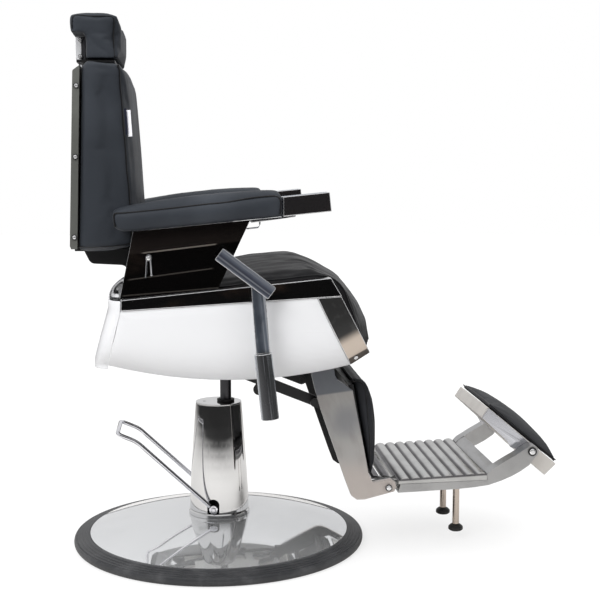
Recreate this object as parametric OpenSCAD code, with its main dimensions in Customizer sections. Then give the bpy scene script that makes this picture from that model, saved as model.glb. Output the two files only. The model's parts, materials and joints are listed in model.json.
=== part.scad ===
// Hydraulic barber chair with a flip-over footrest.
// X points to the sitter's front, Y to the sitter's left and Z up. The origin is on the floor
// under the middle of the round base. Lengths are millimetres, angles are degrees.

/* [Base] */
// Outside diameter of the round base, over the rubber ring
base_d = 650; // [610:5:690]
// Height of the rubber ring
rim_h = 30; // [27:1:36]
// Width of the rubber ring
rim_w = 36; // [30:1:44]
// Rise of the dish from its rim to the column
dish_rise = 35; // [30:1:38]
// Thickness of the dish
dish_t = 3; // [2:0.5:4]
// Thickness of the ballast disc under the dish
ballast_t = 8; // [5:1:14]

/* [Column] */
// Diameter of the column cover at its foot
column_foot_d = 132.4; // [128:0.4:136]
// Diameter of the column cover at its top
column_top_d = 102.6; // [100:0.2:110]
// Height of the column's top above the floor
column_top_z = 318; // [300:1:335]
// Sheet thickness of the column cover
column_t = 2; // [1.5:0.5:3]
// Diameter of the pump's cylinder
pump_d = 60; // [54:1:62]
// Diameter of the piston rod
rod_d = 25; // [20:1:30]
// Distance of the piston rod in front of the column's middle
rod_x = 16; // [12:1:17]
// Stroke of the piston above its rest height
lift = 130; // [80:5:150]

/* [Pedal] */
// Diameter of the pedal's rod
pedal_d = 9.5; // [8:0.5:11]
// Distance between the middles of the pedal's two arms
pedal_gap = 138; // [137:1:142]
// Height of the pedal's axle above the floor
pedal_z = 88; // [84:1:92]
// Distance of the pedal's axle behind the column's middle
pedal_back = 15; // [13:1:18]
// Rise of the pedal's straight arms
pedal_angle = 43.2; // [40:0.2:45]
// Length of the straight arms from the axle to the bend
pedal_reach = 228; // [200:1:232]
// Length of the foot end past the bend
pedal_toe = 45; // [38:1:50]
// Diameter of the pedal's axle
pedal_axle_d = 12; // [10:0.5:13]

/* [Seat body] */
// Height of the shell's lowest edge above the floor
seat_z = 410; // [395:1:440]
// Height of the shell's side at its rear end
shell_h = 147; // [143:1:150]
// Sheet thickness of the shell
shell_t = 3; // [2:0.5:4]
// Width over the trim rails
seat_w = 600; // [590:2:620]
// Width of one trim rail
rail_w = 30; // [26:1:32]
// Height of the trim rail at its rear end
rail_h = 21.5; // [18:0.5:24]
// Thickness of the side plates that carry the arms
plate_t = 13; // [10:1:15]
// Height of the armrests' underside above the shell's lowest edge, at the rear
arm_h = 299; // [292:1:306]
// Thickness of the front trim strips
strip_t = 8; // [6:1:10]
// Width of the front trim strips
strip_w = 40; // [36:1:42]

/* [Cushions] */
// Width of one arm pad
arm_w = 80; // [70:1:84]
// Thickness of the arm pad at its sides
arm_pad_t = 44; // [38:1:48]
// Crown of the arm pad
arm_crown = 13; // [8:1:16]
// Crown of the seat cushion between its side seams
seat_crown = 20; // [14:1:26]
// Crown of the seat cushion's hanging nose
nose_crown = 38; // [30:1:40]
// Width of the backrest
back_w = 470; // [440:2:480]
// Thickness of the backrest cushion at the bottom
back_t = 117; // [105:1:120]
// Thickness of the backrest cushion at the top
back_top_t = 82; // [70:1:92]
// Height of the backrest cushion
back_h = 378; // [350:1:400]
// Width of the headrest
head_w = 276; // [240:2:300]
// Height of the headrest
head_h = 93; // [85:1:110]
// Depth of the headrest at its top
head_t = 100; // [92:1:110]
// Width of the calf pad
calf_w = 286; // [270:2:290]
// Thickness of the soft pad on the flip-over footrest
flip_pad_t = 13; // [8:1:16]
// Crown of the flip-over footrest's pad
flip_crown = 20; // [14:1:22]

/* [Recline lever] */
// Distance of the lever's bars from the chair's middle plane
lever_y = 352; // [345:1:358]
// Width of the lever's flat bars
lever_w = 27; // [24:1:30]
// Length of the lever's upper bar
lever_upper = 128; // [118:1:134]
// Diameter of the round grip
grip_d = 35; // [30:1:38]
// Length of the round grip
grip_l = 131; // [110:1:140]

/* [Footrest] */
// Width over the footplate's rails
foot_w = 334; // [330:2:350]
// Width of the window in front of the ridges
window_w = 270; // [266:2:274]
// Distance between the tread's ridges
ridge_pitch = 24; // [20:0.5:26]
// Height of the tread's ridges
ridge_h = 6; // [4:0.5:8]
// Distance of the footrest's two feet from each other
feet_gap = 132; // [110:2:160]
// Diameter of the feet's rods
feet_rod_d = 15; // [12:1:18]
// Clearance of the feet's glides above the floor
feet_clear = 24; // [20:1:40]
// Diameter of the black glides
glide_d = 33; // [28:1:38]
// Length of the flip-over plate
flip_l = 205; // [196:1:208]

/* [Fits] */
// Running clearance of a shaft in its hole, on the radius
fit = 0.05; // [0.02:0.01:0.1]
// Gap between pieces that lie on each other
gap = 0.3; // [0.2:0.05:0.5]

/* [Hidden] */
$fn = 48;

// ---- geometry helpers ----

function unit(v) = v / norm(v);
function mix(a, b, t) = a + (b - a) * t;
function clamp(v, lo, hi) = min(max(v, lo), hi);
// Height of a sloping line that passes z0 at x0
function slope_z(x, x0, z0, angle) = z0 + tan(angle) * (x - x0);
// Points of an arc from angle a0 to a1
function arc(c, r, a0, a1, n = 8) =
    [for (i = [0 : n]) let (a = mix(a0, a1, i / n)) c + r * [cos(a), sin(a)]];
// One rounded corner at p1 between p0 and p2
function corner(p0, p1, p2, r, n) =
    let (a = unit(p0 - p1), b = unit(p2 - p1), half = acos(clamp(a * b, -1, 1)) / 2)
    let (run = r / tan(half), c = p1 + unit(a + b) * r / sin(half))
    [for (i = [0 : n]) c + r * unit(mix(p1 + a * run, p1 + b * run, i / n) - c)];
// Outline with every corner rounded; r is one radius or a list with 0 for a sharp corner
function rounded(pts, r, n = 4) =
    let (k = len(pts))
    [for (i = [0 : k - 1]) let (ri = is_list(r) ? r[i] : r)
        each (ri <= 0 ? [pts[i]] : corner(pts[(i + k - 1) % k], pts[i], pts[(i + 1) % k], ri, n))];
function raised(pts, dx, dz) = [for (p = pts) p + [dx, dz]];

// Upright outline in X and Z, extruded across the chair from y0 to y1
module plate_y(pts, y0, y1) {
    translate([0, y1, 0]) rotate([90, 0, 0]) linear_extrude(y1 - y0) polygon(pts);
}

// Round bar across the chair
module bar_y(x, z, d, y0, y1) {
    translate([x, y1, z]) rotate([90, 0, 0]) cylinder(h = y1 - y0, d = d);
}

// The same on the right and on the left
module both_sides() {
    children();
    mirror([0, 1, 0]) children();
}

// Closed skin over a row of rings that all have the same number of points. The rings turn
// anticlockwise seen from the last ring, and cap triangles meet in the rings' middles.
module loft(rings) {
    m = len(rings);
    n = len(rings[0]);
    mid = [for (r = [rings[0], rings[m - 1]]) [for (k = [0 : 2]) [for (p = r) p[k]] * [for (p = r) 1] / n]];
    sides = [for (i = [0 : m - 2], j = [0 : n - 1])
        let (a = i * n + j, b = i * n + (j + 1) % n)
        each [[a, b + n, b], [a, a + n, b + n]]];
    caps = [for (j = [0 : n - 1])
        let (k = (j + 1) % n)
        each [[m * n, j, k], [m * n + 1, (m - 1) * n + k, (m - 1) * n + j]]];
    polyhedron(points = concat([for (r = rings) each r], mid), faces = concat(sides, caps));
}

// Ring of an upholstered section at o: u is the way its crown faces, w runs across it
function pad_ring(o, u, w, t, half, crown, r) =
    let (rr = min(r, t * 0.45, half * 0.45), in = half - rr)
    [for (p = concat(
        arc([rr, -in], rr, 180, 270, 2),
        arc([t - rr, -in], rr, 270, 360, 3),
        [for (k = [1 : 9]) let (s = -1 + k / 5) [t + crown * (1 - pow(abs(s), 2.2)), s * in]],
        arc([t - rr, in], rr, 0, 90, 3),
        arc([rr, in], rr, 90, 180, 2)
    )) o + u * p[0] + w * p[1]];
// How far a soft end of radius r draws in at distance d from the end
function end_draw(d, r) = d >= r ? 0 : r - sqrt(max(0, r * r - (r - d) * (r - d)));

// Bent round rod through points, with rings square to its run
module swept_rod(path, d, sides = 10) {
    n = len(path);
    loft([for (i = [0 : n - 1])
        let (t = unit(path[min(i + 1, n - 1)] - path[max(i - 1, 0)]))
        let (a = unit(cross(abs(t.z) > 0.9 ? [1, 0, 0] : [0, 0, 1], t)), b = cross(t, a))
        [for (k = [0 : sides - 1]) let (turn = 360 * k / sides)
            path[i] + d / 2 * (a * cos(turn) + b * sin(turn))]]);
}

// Curved sheet: outer and inner grids of points, rows by columns, closed round their edge
module sheet(outer, inner) {
    r = len(outer);
    c = len(outer[0]);
    k = r * c;
    skin = [for (i = [0 : r - 2], j = [0 : c - 2])
        let (a = i * c + j, b = a + 1, d = a + c, e = d + 1)
        each [[a, d, b], [b, d, e], [k + a, k + b, k + d], [k + b, k + e, k + d]]];
    rows = [for (j = [0 : c - 2])
        let (a = j, b = j + 1, d = (r - 1) * c + j, e = d + 1)
        each [[a, b, k + a], [b, k + b, k + a], [d, k + d, e], [e, k + d, k + e]]];
    cols = [for (i = [0 : r - 2])
        let (a = i * c, d = a + c, b = a + c - 1, e = b + c)
        each [[a, k + a, d], [d, k + a, k + d], [b, e, k + b], [e, k + e, k + b]]];
    polyhedron(points = concat([for (q = outer) each q], [for (q = inner) each q]),
        faces = concat(skin, rows, cols));
}

// ---- derived sizes ----

base_r = base_d / 2;
dish_r = base_r - rim_w;
column_r0 = column_foot_d / 2;
column_r1 = column_top_d / 2;
ring_r = column_r0 + 2.2;              // chrome ring round the column's foot
dish_top = rim_h - 1 + dish_rise;      // height of the dish at the column
ring_h = 10.5;
cap_t = 3;
rod_r = rod_d / 2;
cap_z = column_top_z - cap_t;          // top edge of the column cover
pump_z1 = column_top_z - 14;
rod_z0 = 60;                           // lower end of the piston rod at rest
lower_stop = 15;                       // how far the seat can still sink

hub_z = seat_z + 8;
hub_h = 36;
hub_d = 90;
frame_z = hub_z + hub_h + 0.2;         // underside of the seat frame's plate
frame_t = 8;
beam = 30;

rail_x0 = -197;                        // rear end of the trim rails
rail_x1 = 217;                         // their front end
rail_y = seat_w / 2;
rail_in = rail_y - rail_w;
function rail_under(x) = slope_z(x, rail_x0, seat_z + shell_h, 3.3);
function rail_over(x) = slope_z(x, rail_x0, seat_z + shell_h + rail_h, 5.6);
arm_x0 = -212;
arm_x1 = 120;
arm_y = rail_y - 10;
function arm_under(x) = slope_z(x, arm_x0, seat_z + arm_h, 5.25);
plate_y1 = rail_in + 0.5 + plate_t;    // outer face of the side plates

hinge = [-172, seat_z + shell_h - 1];  // recline hinge, in X and Z
hinge_d = 16;
rest_hinge = [215, seat_z + 25];       // hinge of the leg rest
rest_d = 16;
link_front = rest_hinge + [-15, -95];  // link's pivot on the leg rest
link_rear = hinge + [-20, -54];        // link's open pivot on the back
foot_hinge = rest_hinge + [144, -280.5];
foot_pin_d = 10;
flip_hinge = foot_hinge + [315.5, 71];
flip_pin_d = 12;
lever_hinge = [8, seat_z + 251];
lever_d = 16;
hook_at = [-142, seat_z + 251];
back_lean = 1.8;                       // backward slope of the back board
back_z = seat_z + 261;                 // underside of the back cushion
back_x = -285;                         // front face of the back board at that height
lug_y = foot_w / 2 - 33;               // inner face of the leg rest's hinge lugs
arm_plate_y = foot_w / 2 - 19;         // inner face of the leg rest's steel arms
board_side = 11;                       // space between the calf board and each steel arm
arm_plate_t = 10;
cover_t = 12;
bracket_y = 140;                       // inner face of the back brackets
bracket_t = 8;
link_y = 125;
link_t = 6;
link_w = 22;

// ---- base and column ----

module base_ring() {
    ledge = rim_h - 1 - dish_t - gap;
    color([0.12, 0.12, 0.13]) rotate_extrude($fn = 128) polygon(concat(
        [[dish_r + gap, rim_h - 1.5], [dish_r + rim_w * 0.5, rim_h * 0.82], [base_r - 8, rim_h * 0.72]],
        arc([base_r - 12, 12], 12, 30, -75, 6),
        [[base_r - 20, 0], [dish_r - 6, 0], [dish_r - 6, ledge], [dish_r + gap, ledge]]));
}

// Top of the dish at radius r
function dish_z(r) = rim_h - 1 + dish_rise * (1 - pow(clamp((r - ring_r) / (dish_r - ring_r), 0, 1), 1.9));

module base_dish() {
    rs = [for (i = [0 : 14]) mix(dish_r, ring_r, i / 14)];
    hole = ring_r - 9;
    color([0.85, 0.86, 0.87]) rotate_extrude($fn = 128) polygon(concat(
        [for (r = rs) [r, dish_z(r)]], [[hole, dish_top], [hole, dish_top - dish_t]],
        [for (i = [14 : -1 : 0]) [rs[i], dish_z(rs[i]) - dish_t]]));
}

module base_ballast() {
    color([0.2, 0.2, 0.21]) cylinder(h = ballast_t, r = dish_r - 6 - gap, $fn = 96);
}

module pump_body() {
    lug = pedal_axle_d + 16;
    color([0.25, 0.26, 0.28]) difference() {
        union() {
            translate([rod_x, 0, ballast_t]) cylinder(h = pump_z1 - ballast_t, d = pump_d);
            translate([0, 0, ballast_t]) cylinder(h = 12, r = ring_r - 12);
            translate([-pedal_back - lug / 2, -26, pedal_z - lug / 2]) cube([lug, 52, lug]);
        }
        translate([rod_x, 0, rod_z0 - lower_stop - 8]) cylinder(h = column_top_z, r = rod_r + fit);
        bar_y(-pedal_back, pedal_z, pedal_axle_d + 2 * fit, -40, 40);
    }
}

module column_ring() {
    z0 = dish_top + gap;
    color([0.85, 0.86, 0.87]) rotate_extrude($fn = 96) polygon([
        [ring_r - 9, z0], [ring_r, z0], [ring_r, z0 + ring_h - 3], [ring_r - 1.5, z0 + ring_h],
        [ring_r - 9, z0 + ring_h]]);
}

// Outer radius of the column cover at a share t of its height
function cover_r(t) = column_r1 + (column_r0 - column_r1) * (1 - pow(t, 1.32));

module column_cover() {
    z0 = dish_top + gap + ring_h + gap;
    slot_w = 26;
    color([0.8, 0.81, 0.83]) difference() {
        rotate_extrude($fn = 96) polygon(concat(
            [for (i = [0 : 10]) [cover_r(i / 10), mix(z0, cap_z - gap, i / 10)]],
            [for (i = [10 : -1 : 0]) [cover_r(i / 10) - column_t, mix(z0, cap_z - gap, i / 10)]]));
        translate([-pedal_back, 100, 0]) rotate([90, 0, 0]) linear_extrude(200) union() {
            translate([0, pedal_z + 7]) circle(d = slot_w);
            translate([-slot_w / 2, pedal_z - 40]) square([slot_w, 47]);
        }
    }
}

module column_cap() {
    color([0.8, 0.81, 0.83]) difference() {
        union() {
            translate([0, 0, cap_z]) cylinder(h = cap_t, r = column_r1, $fn = 96);
            translate([0, 0, cap_z - 6]) cylinder(h = 6, r = column_r1 - column_t - gap, $fn = 96);
        }
        translate([rod_x, 0, cap_z - 10]) cylinder(h = 20, r = rod_r + 4.5);
        translate([-column_r1 * 0.62, 0, cap_z - 10]) cylinder(h = 20, r = 3);
    }
}

module rod_seal() {
    color([0.06, 0.06, 0.06]) difference() {
        union() {
            translate([rod_x, 0, column_top_z + gap]) cylinder(h = 5, r = rod_r + 7);
            translate([rod_x, 0, pump_z1 + gap]) cylinder(h = column_top_z - pump_z1, r = rod_r + 4.2);
        }
        translate([rod_x, 0, pump_z1]) cylinder(h = 40, r = rod_r + fit);
    }
}

// ---- pedal ----

pedal_hub_d = 19;

module pedal_axle() {
    reach = pedal_gap / 2 + 3;
    color([0.5, 0.5, 0.52]) bar_y(-pedal_back, pedal_z, pedal_axle_d, -reach, reach);
}

module pedal_hubs() {
    y0 = pedal_gap / 2 - 6;
    y1 = pedal_gap / 2 + 6;
    color([0.8, 0.8, 0.82]) both_sides() difference() {
        union() {
            bar_y(-pedal_back, pedal_z, pedal_hub_d, -y1, -y0);
            bar_y(-pedal_back, pedal_z, 9, -y1 - 3, -y1);
        }
        bar_y(-pedal_back, pedal_z, pedal_axle_d + 0.1, -pedal_gap / 2 - 3.2, 0);
    }
}

// Points of one pedal arm from its hub to the toe bar's rounded corner, as [distance back, height]
function pedal_side() =
    let (a = pedal_angle, start = pedal_hub_d / 2 + 0.2, bend = 70, turn = 20)
    let (knee = pedal_reach - bend * tan(turn / 2))
    let (k = knee * [cos(a), sin(a)], c = k + bend * [sin(a), -cos(a)])
    let (e = c + bend * [-sin(a - turn), cos(a - turn)])
    concat([start * [cos(a), sin(a)], 0.5 * knee * [cos(a), sin(a)]],
        [for (i = [0 : 6]) let (b = a - turn * i / 6) c + bend * [-sin(b), cos(b)]],
        [e + (pedal_toe - 26) * [cos(a - turn), sin(a - turn)]]);

module pedal_rod() {
    half = pedal_gap / 2;
    r = 13;
    side = pedal_side();
    last = side[len(side) - 1];
    dir = unit(last - side[len(side) - 2]);
    place = function (p, y) [-pedal_back - p[0], y, pedal_z + p[1]];
    right = concat([for (p = side) place(p, -half)],
        [for (i = [1 : 5]) let (b = 90 * i / 5) place(last + dir * r * sin(b), -half + r * (1 - cos(b)))]);
    left = [for (i = [len(right) - 1 : -1 : 0]) [right[i].x, -right[i].y, right[i].z]];
    color([0.85, 0.86, 0.88]) swept_rod(concat(right, left), pedal_d);
}

// ---- piston ----

module piston_rod() {
    color([0.08, 0.08, 0.09]) translate([rod_x, 0, rod_z0]) cylinder(h = hub_z + 27 - rod_z0, r = rod_r);
}

// ---- seat frame ----

module swivel_hub() {
    color([0.1, 0.1, 0.1]) difference() {
        union() {
            translate([rod_x, 0, hub_z]) cylinder(h = hub_h, d = hub_d);
            translate([rod_x, 0, hub_z + hub_h - 8]) cylinder(h = 8, d = hub_d + 60);
        }
        translate([rod_x, 0, hub_z - 1]) cylinder(h = 28 + gap, r = rod_r + fit);
    }
}

beam_x = [-62, 112];                   // rear sides of the two cross beams
// Underside of the seat board at x
function board_under(x) = slope_z(x, beam_x[0], seat_z + 131.5, 5.25);

module cross_beam(x) {
    top = board_under(x) - gap;
    wall = rail_in + 2;
    translate([x, -rail_y + 12, top - beam]) cube([beam, seat_w - 24, beam]);
    both_sides() translate([x, wall, top - beam]) cube([beam, 16, rail_under(x) - gap - top + beam]);
}

module seat_frame() {
    z1 = frame_z + frame_t;
    front = [[beam_x[1] + beam / 2, board_under(beam_x[1]) - 18], rest_hinge];
    drop = board_under(hinge.x + 30) - gap;
    top = [for (x = beam_x) board_under(x) - 8 - gap];
    rear = concat(arc(hinge, 16, 0, 180, 10), [[hinge.x - 16, drop - 8], [hinge.x - 4, drop - 26],
        [beam_x[0] + 1, drop - 22], [beam_x[0] + 1, board_under(beam_x[0]) - gap],
        [hinge.x + 18, board_under(hinge.x + 18) - gap]]);
    color([0.07, 0.07, 0.07]) difference() {
        union() {
            translate([-90, -115, frame_z]) cube([240, 230, frame_t]);
            both_sides() plate_y([[-90, z1], [150, z1], [150, top[1]], [beam_x[1], top[1]],
                [beam_x[0] + beam, top[0]], [-90, top[0]]], 107, 115);
            for (x = beam_x) cross_beam(x);
            both_sides() plate_y(rear, bracket_y + bracket_t + 2, bracket_y + bracket_t + 12);
            both_sides() lug_arm(front, 17, lug_y, 8);
        }
        bar_y(hinge.x, hinge.y, hinge_d, -300, 300);
        bar_y(rest_hinge.x, rest_hinge.y, rest_d, -300, 300);
    }
}

// Flat arm with a round eye at each end, between two points in X and Z
module lug_arm(ends, r, y0, t) {
    d = unit(ends[1] - ends[0]);
    a = atan2(d[1], d[0]);
    plate_y(concat(arc(ends[0], r, a + 90, a + 270, 10), arc(ends[1], r, a - 90, a + 90, 10)), y0, y0 + t);
}

module hinge_axles() {
    y_back = bracket_y + bracket_t + 14;
    y_rest = arm_plate_y + arm_plate_t + cover_t + 3;
    color([0.6, 0.6, 0.62]) {
        bar_y(hinge.x, hinge.y, hinge_d - 0.1, -y_back, y_back);
        bar_y(rest_hinge.x, rest_hinge.y, rest_d - 0.1, -y_rest, y_rest);
    }
}

// ---- shell, rails, strips ----

// Half width of the shell at a share v of the way down its side
function shell_half(v) = rail_y - 3 - 6 * v - 34 * pow(v, 5);
// Lowest edge of the side shells
function shell_foot(x) = seat_z + 0.000515 * pow(x - 30, 2);
seam_lean = -29;
function seam_x(v) = rail_x0 - 1 + seam_lean * v;
function strip_x(v) = rail_x1 - 27 + 72 * v;

function side_point(s, v, inset) =
    let (x = mix(strip_x(v) - gap, seam_x(v) + gap, s))
    let (z = mix(rail_under(x) - gap, shell_foot(x), v))
    [x, -(shell_half(v) - inset), z];

function side_grid(inset) =
    [for (i = [0 : 9]) [for (j = [0 : 12]) side_point(j / 12, 1 - pow(1 - i / 9, 1.5), inset)]];

module shell_side() {
    color([0.93, 0.93, 0.94]) sheet(side_grid(0), side_grid(shell_t));
}
module shell_right() shell_side();
module shell_left() mirror([0, 1, 0]) shell_side();

// Rear panel: a round corner each side, and a slightly bowed back
function rear_plan(s, v, inset) =
    let (half = shell_half(v), cx = seam_x(v), cy = half - 45)
    let (depth = 26 + 3 * v, bow = 9)
    let (q = abs(s), side = s < 0 ? -1 : 1)
    q > 0.5
        ? let (a = (q - 0.5) * 180) [cx - (depth - inset) * cos(a), side * (cy + (45 - inset) * sin(a))]
        : let (y = cy * q / 0.5) [cx - depth + inset - bow * (1 - q * q * 4), side * y];

// Its rows meet the side shells at the same height, and stand upright beside the rails
function rear_grid(inset) =
    let (top = rail_under(rail_x0) - gap, foot = shell_foot(seam_x(1)))
    [for (i = [0 : 8])
        let (z = mix(seat_z + shell_h + rail_h - 2, foot - 8, 1 - pow(1 - i / 8, 1.4)))
        let (v = clamp((top - z) / (top - foot), 0, 1))
        [for (j = [-10 : 10]) let (p = rear_plan(j / 10, v, inset)) [p[0], p[1], z]]];

module shell_rear() {
    color([0.93, 0.93, 0.94]) mirror([0, 1, 0]) sheet(rear_grid(0), rear_grid(shell_t));
}

rail_tip = [rail_x1 + 22, rail_under(rail_x1 + 22)];

module rail_side() {
    color([0.09, 0.09, 0.1]) plate_y([
        [rail_x0, rail_under(rail_x0)], rail_tip, [rail_x1, rail_over(rail_x1)],
        [rail_x0, rail_over(rail_x0)]], -rail_y, -rail_in);
}
module rail_right() rail_side();
module rail_left() mirror([0, 1, 0]) rail_side();

// Strip down the front corner: s runs forward, v down
function strip_point(s, v, inset) =
    let (x0 = strip_x(v), x = x0 + (strip_w + 8 * (1 - v)) * (1 - s))
    let (foot = slope_z(x, x0, shell_foot(x0), 32))
    [x, -(shell_half(v) + 2.5 - inset), mix(rail_under(x) - gap, foot, v)];
function strip_grid(inset) =
    [for (i = [0 : 8]) [for (j = [0 : 2]) strip_point(j / 2, 1 - pow(1 - i / 8, 1.5), inset)]];

module strip_side() {
    color([0.55, 0.5, 0.46]) sheet(strip_grid(0), strip_grid(strip_t));
}
module strip_right() strip_side();
module strip_left() mirror([0, 1, 0]) strip_side();

// ---- side plates and arms ----

plate_rear = -200;                     // lower corners of the side plates
plate_front = -6.5;
plate_top = 57.6;                      // their upper front corner

module side_plate() {
    color([0.07, 0.07, 0.08]) plate_y([
        [plate_rear, rail_over(plate_rear) + gap], [plate_front, rail_over(plate_front) + gap],
        [plate_top, arm_under(plate_top) - gap], [-172, arm_under(-172) - gap]], -plate_y1, -rail_in - 0.5);
}

module side_plate_right() {
    difference() {
        side_plate();
        bar_y(lever_hinge.x, lever_hinge.y, lever_d + 2 * fit, -seat_w, 0);
    }
}
module side_plate_left() mirror([0, 1, 0]) side_plate();

arm_bar = [plate_top + 2 * gap, arm_x1 + gap + 25];
// Underside of the flat bar under the arm at x
function arm_bar_under(x) =
    let (share = (x - arm_bar[0]) / (arm_bar[1] - arm_bar[0]))
    mix(arm_under(arm_bar[0]) - gap - 4, arm_under(arm_bar[1]) - 1, share);

// Front end of the arm: a box with a flat bar that runs back under the pad
module arm_bracket() {
    x0 = arm_x1 + gap;
    box = [[x0, arm_under(x0) + 2.5], [x0 + 95, arm_under(x0) + 12], [x0 + 91, arm_under(x0) + 49.5],
        [x0, arm_under(x0) + 40.5]];
    bar = [[arm_bar[0], arm_bar_under(arm_bar[0])], [arm_bar[1], arm_bar_under(arm_bar[1])],
        [arm_bar[1], arm_under(x0) + 8], [x0, arm_under(x0) + 8], [x0, arm_under(x0) - gap],
        [arm_bar[0], arm_under(arm_bar[0]) - gap]];
    color([0.06, 0.06, 0.07]) union() {
        plate_y(box, -arm_y - 30, -arm_y + 30);
        plate_y(bar, -arm_y - 22, -arm_y + 22);
    }
}
module arm_bracket_right() arm_bracket();
module arm_bracket_left() mirror([0, 1, 0]) arm_bracket();

function arm_rings() =
    let (l = arm_x1 - arm_x0)
    let (at = [0, 0.012, 0.035, 0.07, 0.14, 0.24, 0.36, 0.5, 0.64, 0.76, 0.86, 0.93, 0.97, 1])
    [for (t = at)
        let (x = arm_x0 + l * t, low = 0.75 * end_draw(l * t, 30))
        let (rear = end_draw(l * t, 12), front = end_draw(l * (1 - t), 9))
        pad_ring([x, -arm_y, arm_under(x) + low], [0, 0, 1], [0, -1, 0],
            arm_pad_t + 6.5 * t - low - 0.3 * rear - front,
            arm_w / 2 - 0.7 * rear - 0.5 * front - 1.5 * sin(180 * t),
            arm_crown * pow(sin(180 * clamp(t, 0.004, 0.996)), 0.35), 9)];

module arm_pad() {
    color([0.25, 0.26, 0.28]) loft(arm_rings());
}
module arm_pad_right() arm_pad();
module arm_pad_left() mirror([0, 1, 0]) arm_pad();

// Wire loop under the front of the arm, from the flat bar back to the side plate
module arm_hooks() {
    d = 3;
    x1 = 77;
    z0 = arm_bar_under(x1) - gap;
    drop = 13;
    y = -(plate_y1 - plate_t / 2);
    low = rail_over(plate_front) + gap;
    lean = (plate_top - plate_front) / (arm_under(plate_top) - gap - low);
    foot_z = z0 - drop - 2;
    foot_x = plate_front + lean * (foot_z + d / 2 - low) + gap;
    path = concat([[x1, y, z0], [x1, y, z0 - drop + 7]],
        [for (i = [1 : 4]) let (a = 22.5 * i) [x1 - 6 * (1 - cos(a)), y, z0 - drop + 6 - 6 * sin(a)]],
        [[foot_x, y, foot_z]]);
    color([0.6, 0.6, 0.62]) both_sides() swept_rod(path, d, 8);
}

// ---- small pieces on the side ----

module trim_screws() {
    color([0.8, 0.8, 0.8]) {
        // ball-headed screw that carries the little hook
        bar_y(hook_at.x, hook_at.y, 6, -plate_y1 - 9, -plate_y1 - gap);
        translate([hook_at.x, -plate_y1 - 12, hook_at.y]) sphere(d = 11);
        // screws at the lower ends of the front strips
        at = [0.65, 0.93];
        p = strip_point(at[0], at[1], 0);
        out = unit(cross(strip_point(at[0], at[1] + 0.01, 0) - p, strip_point(at[0] - 0.05, at[1], 0) - p));
        both_sides() translate(p + gap * out) rotate([0, acos(out.z), atan2(out.y, out.x)])
            cylinder(h = 2.2, d = 9);
    }
}

module side_hook() {
    y0 = -plate_y1 - 6;
    color([0.85, 0.85, 0.87]) difference() {
        union() {
            bar_y(hook_at.x, hook_at.y, 14, y0, y0 + 3);
            hook_leg([-3.6, -4], [-6, -40], 4, y0 + 1.5);
            hook_leg([3.6, -4], [5, -33], 4, y0 + 1.5);
            translate([hook_at.x + 5, y0 + 1.5, hook_at.y - 34]) sphere(d = 6);
        }
        bar_y(hook_at.x, hook_at.y, 6 + 2 * fit, y0 - 5, y0 + 8);
    }
}

module hook_leg(a, b, d, y) {
    v = b - a;
    translate([hook_at.x + a[0], y, hook_at.y + a[1]]) rotate([0, atan2(v[0], v[1]), 0])
        cylinder(h = norm(v), d = d, $fn = 20);
}

// ---- seat cushion and board ----

// Side seam of the seat cushion and the board line under it, from the rear to the nose
seam_line = [[-150, 182], [-90, 188], [-30, 195], [30, 202], [80, 209], [125, 214], [165, 218],
    [198, 219.5], [222, 215.5], [242, 204], [256, 184], [266, 153], [278, 121], [291, 88], [303, 55]];
board_line = [[-150, 136], [-90, 141.5], [-30, 147], [30, 152.5], [80, 157.5], [125, 161.5], [163, 163],
    [182, 162], [197, 156], [207, 145], [216, 131], [226, 112], [240, 88], [254, 64], [269, 39]];
// Crown of the cushion over each pair of those points, as shares of seat_crown and nose_crown
top_share = [0.7, 0.85, 1, 1.05, 1.08, 1.08, 0.95, 0.6, 0.1, 0, 0, 0, 0, 0, 0];
nose_share = [0, 0, 0, 0, 0, 0, 0, 0, 0.06, 0.2, 0.5, 0.82, 0.95, 1, 1];
board_t = 12;

function seat_dir(i) = unit(seam_line[i] - board_line[i]);

module seat_board() {
    n = len(board_line) - 1;
    at = function (i, t) board_line[i] - t * seat_dir(i) + [i == 0 ? 10 : 0, seat_z + (i == 0 ? 1 : 0)];
    half = rail_in - 20;
    color([0.5, 0.4, 0.28]) plate_y(concat(
        [for (i = [0 : n]) at(i, board_t + gap)], [for (i = [n : -1 : 0]) at(i, gap)]), -half, half);
}

function seat_rings() =
    let (n = len(seam_line) - 1)
    [for (i = [0 : n])
        let (ends = i == 0 ? 12 : i == n ? 6 : (i == 1 || i == n - 1) ? 1 : 0)
        let (draw = i == n ? 18 : i == n - 1 ? 4 : ends)
        let (u = seat_dir(i), o = board_line[i], full = norm(seam_line[i] - o))
        pad_ring([o[0], 0, o[1] + seat_z], [u[0], 0, u[1]], [0, -1, 0],
            full - ends, rail_in - 1 - draw - 2.5 * sin(180 * i / n),
            seat_crown * top_share[i] + nose_crown * nose_share[i], 10)];

module seat_cushion() {
    color([0.2, 0.2, 0.21]) loft(seat_rings());
}

// ---- backrest ----

// Front face of the back board and of the cushion's side seam at height z
function board_face(z) = back_x + tan(back_lean) * (z - back_z);
function back_depth(t) = mix(back_t, back_top_t, pow(t, 1.25));

module back_board() {
    z0 = back_z + 4;
    z1 = back_z + back_h - 12;
    t = 17;
    half = back_w / 2;
    color([0.3, 0.31, 0.32]) difference() {
        plate_y(rounded([[board_face(z0), z0], [board_face(z1), z1], [board_face(z1) + 3 - t, z1 - 10],
            [board_face(z1) + 2.5 - t, z1 - 22], [board_face(z0) + 2.5 - t, z0 + 6], [board_face(z0) - t + 5, z0]],
            [0, 0, 5, 0, 3, 0]), -half, half);
        for (y = [-1, 1]) head_post(y, 1, 2 * fit);
    }
}

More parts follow.
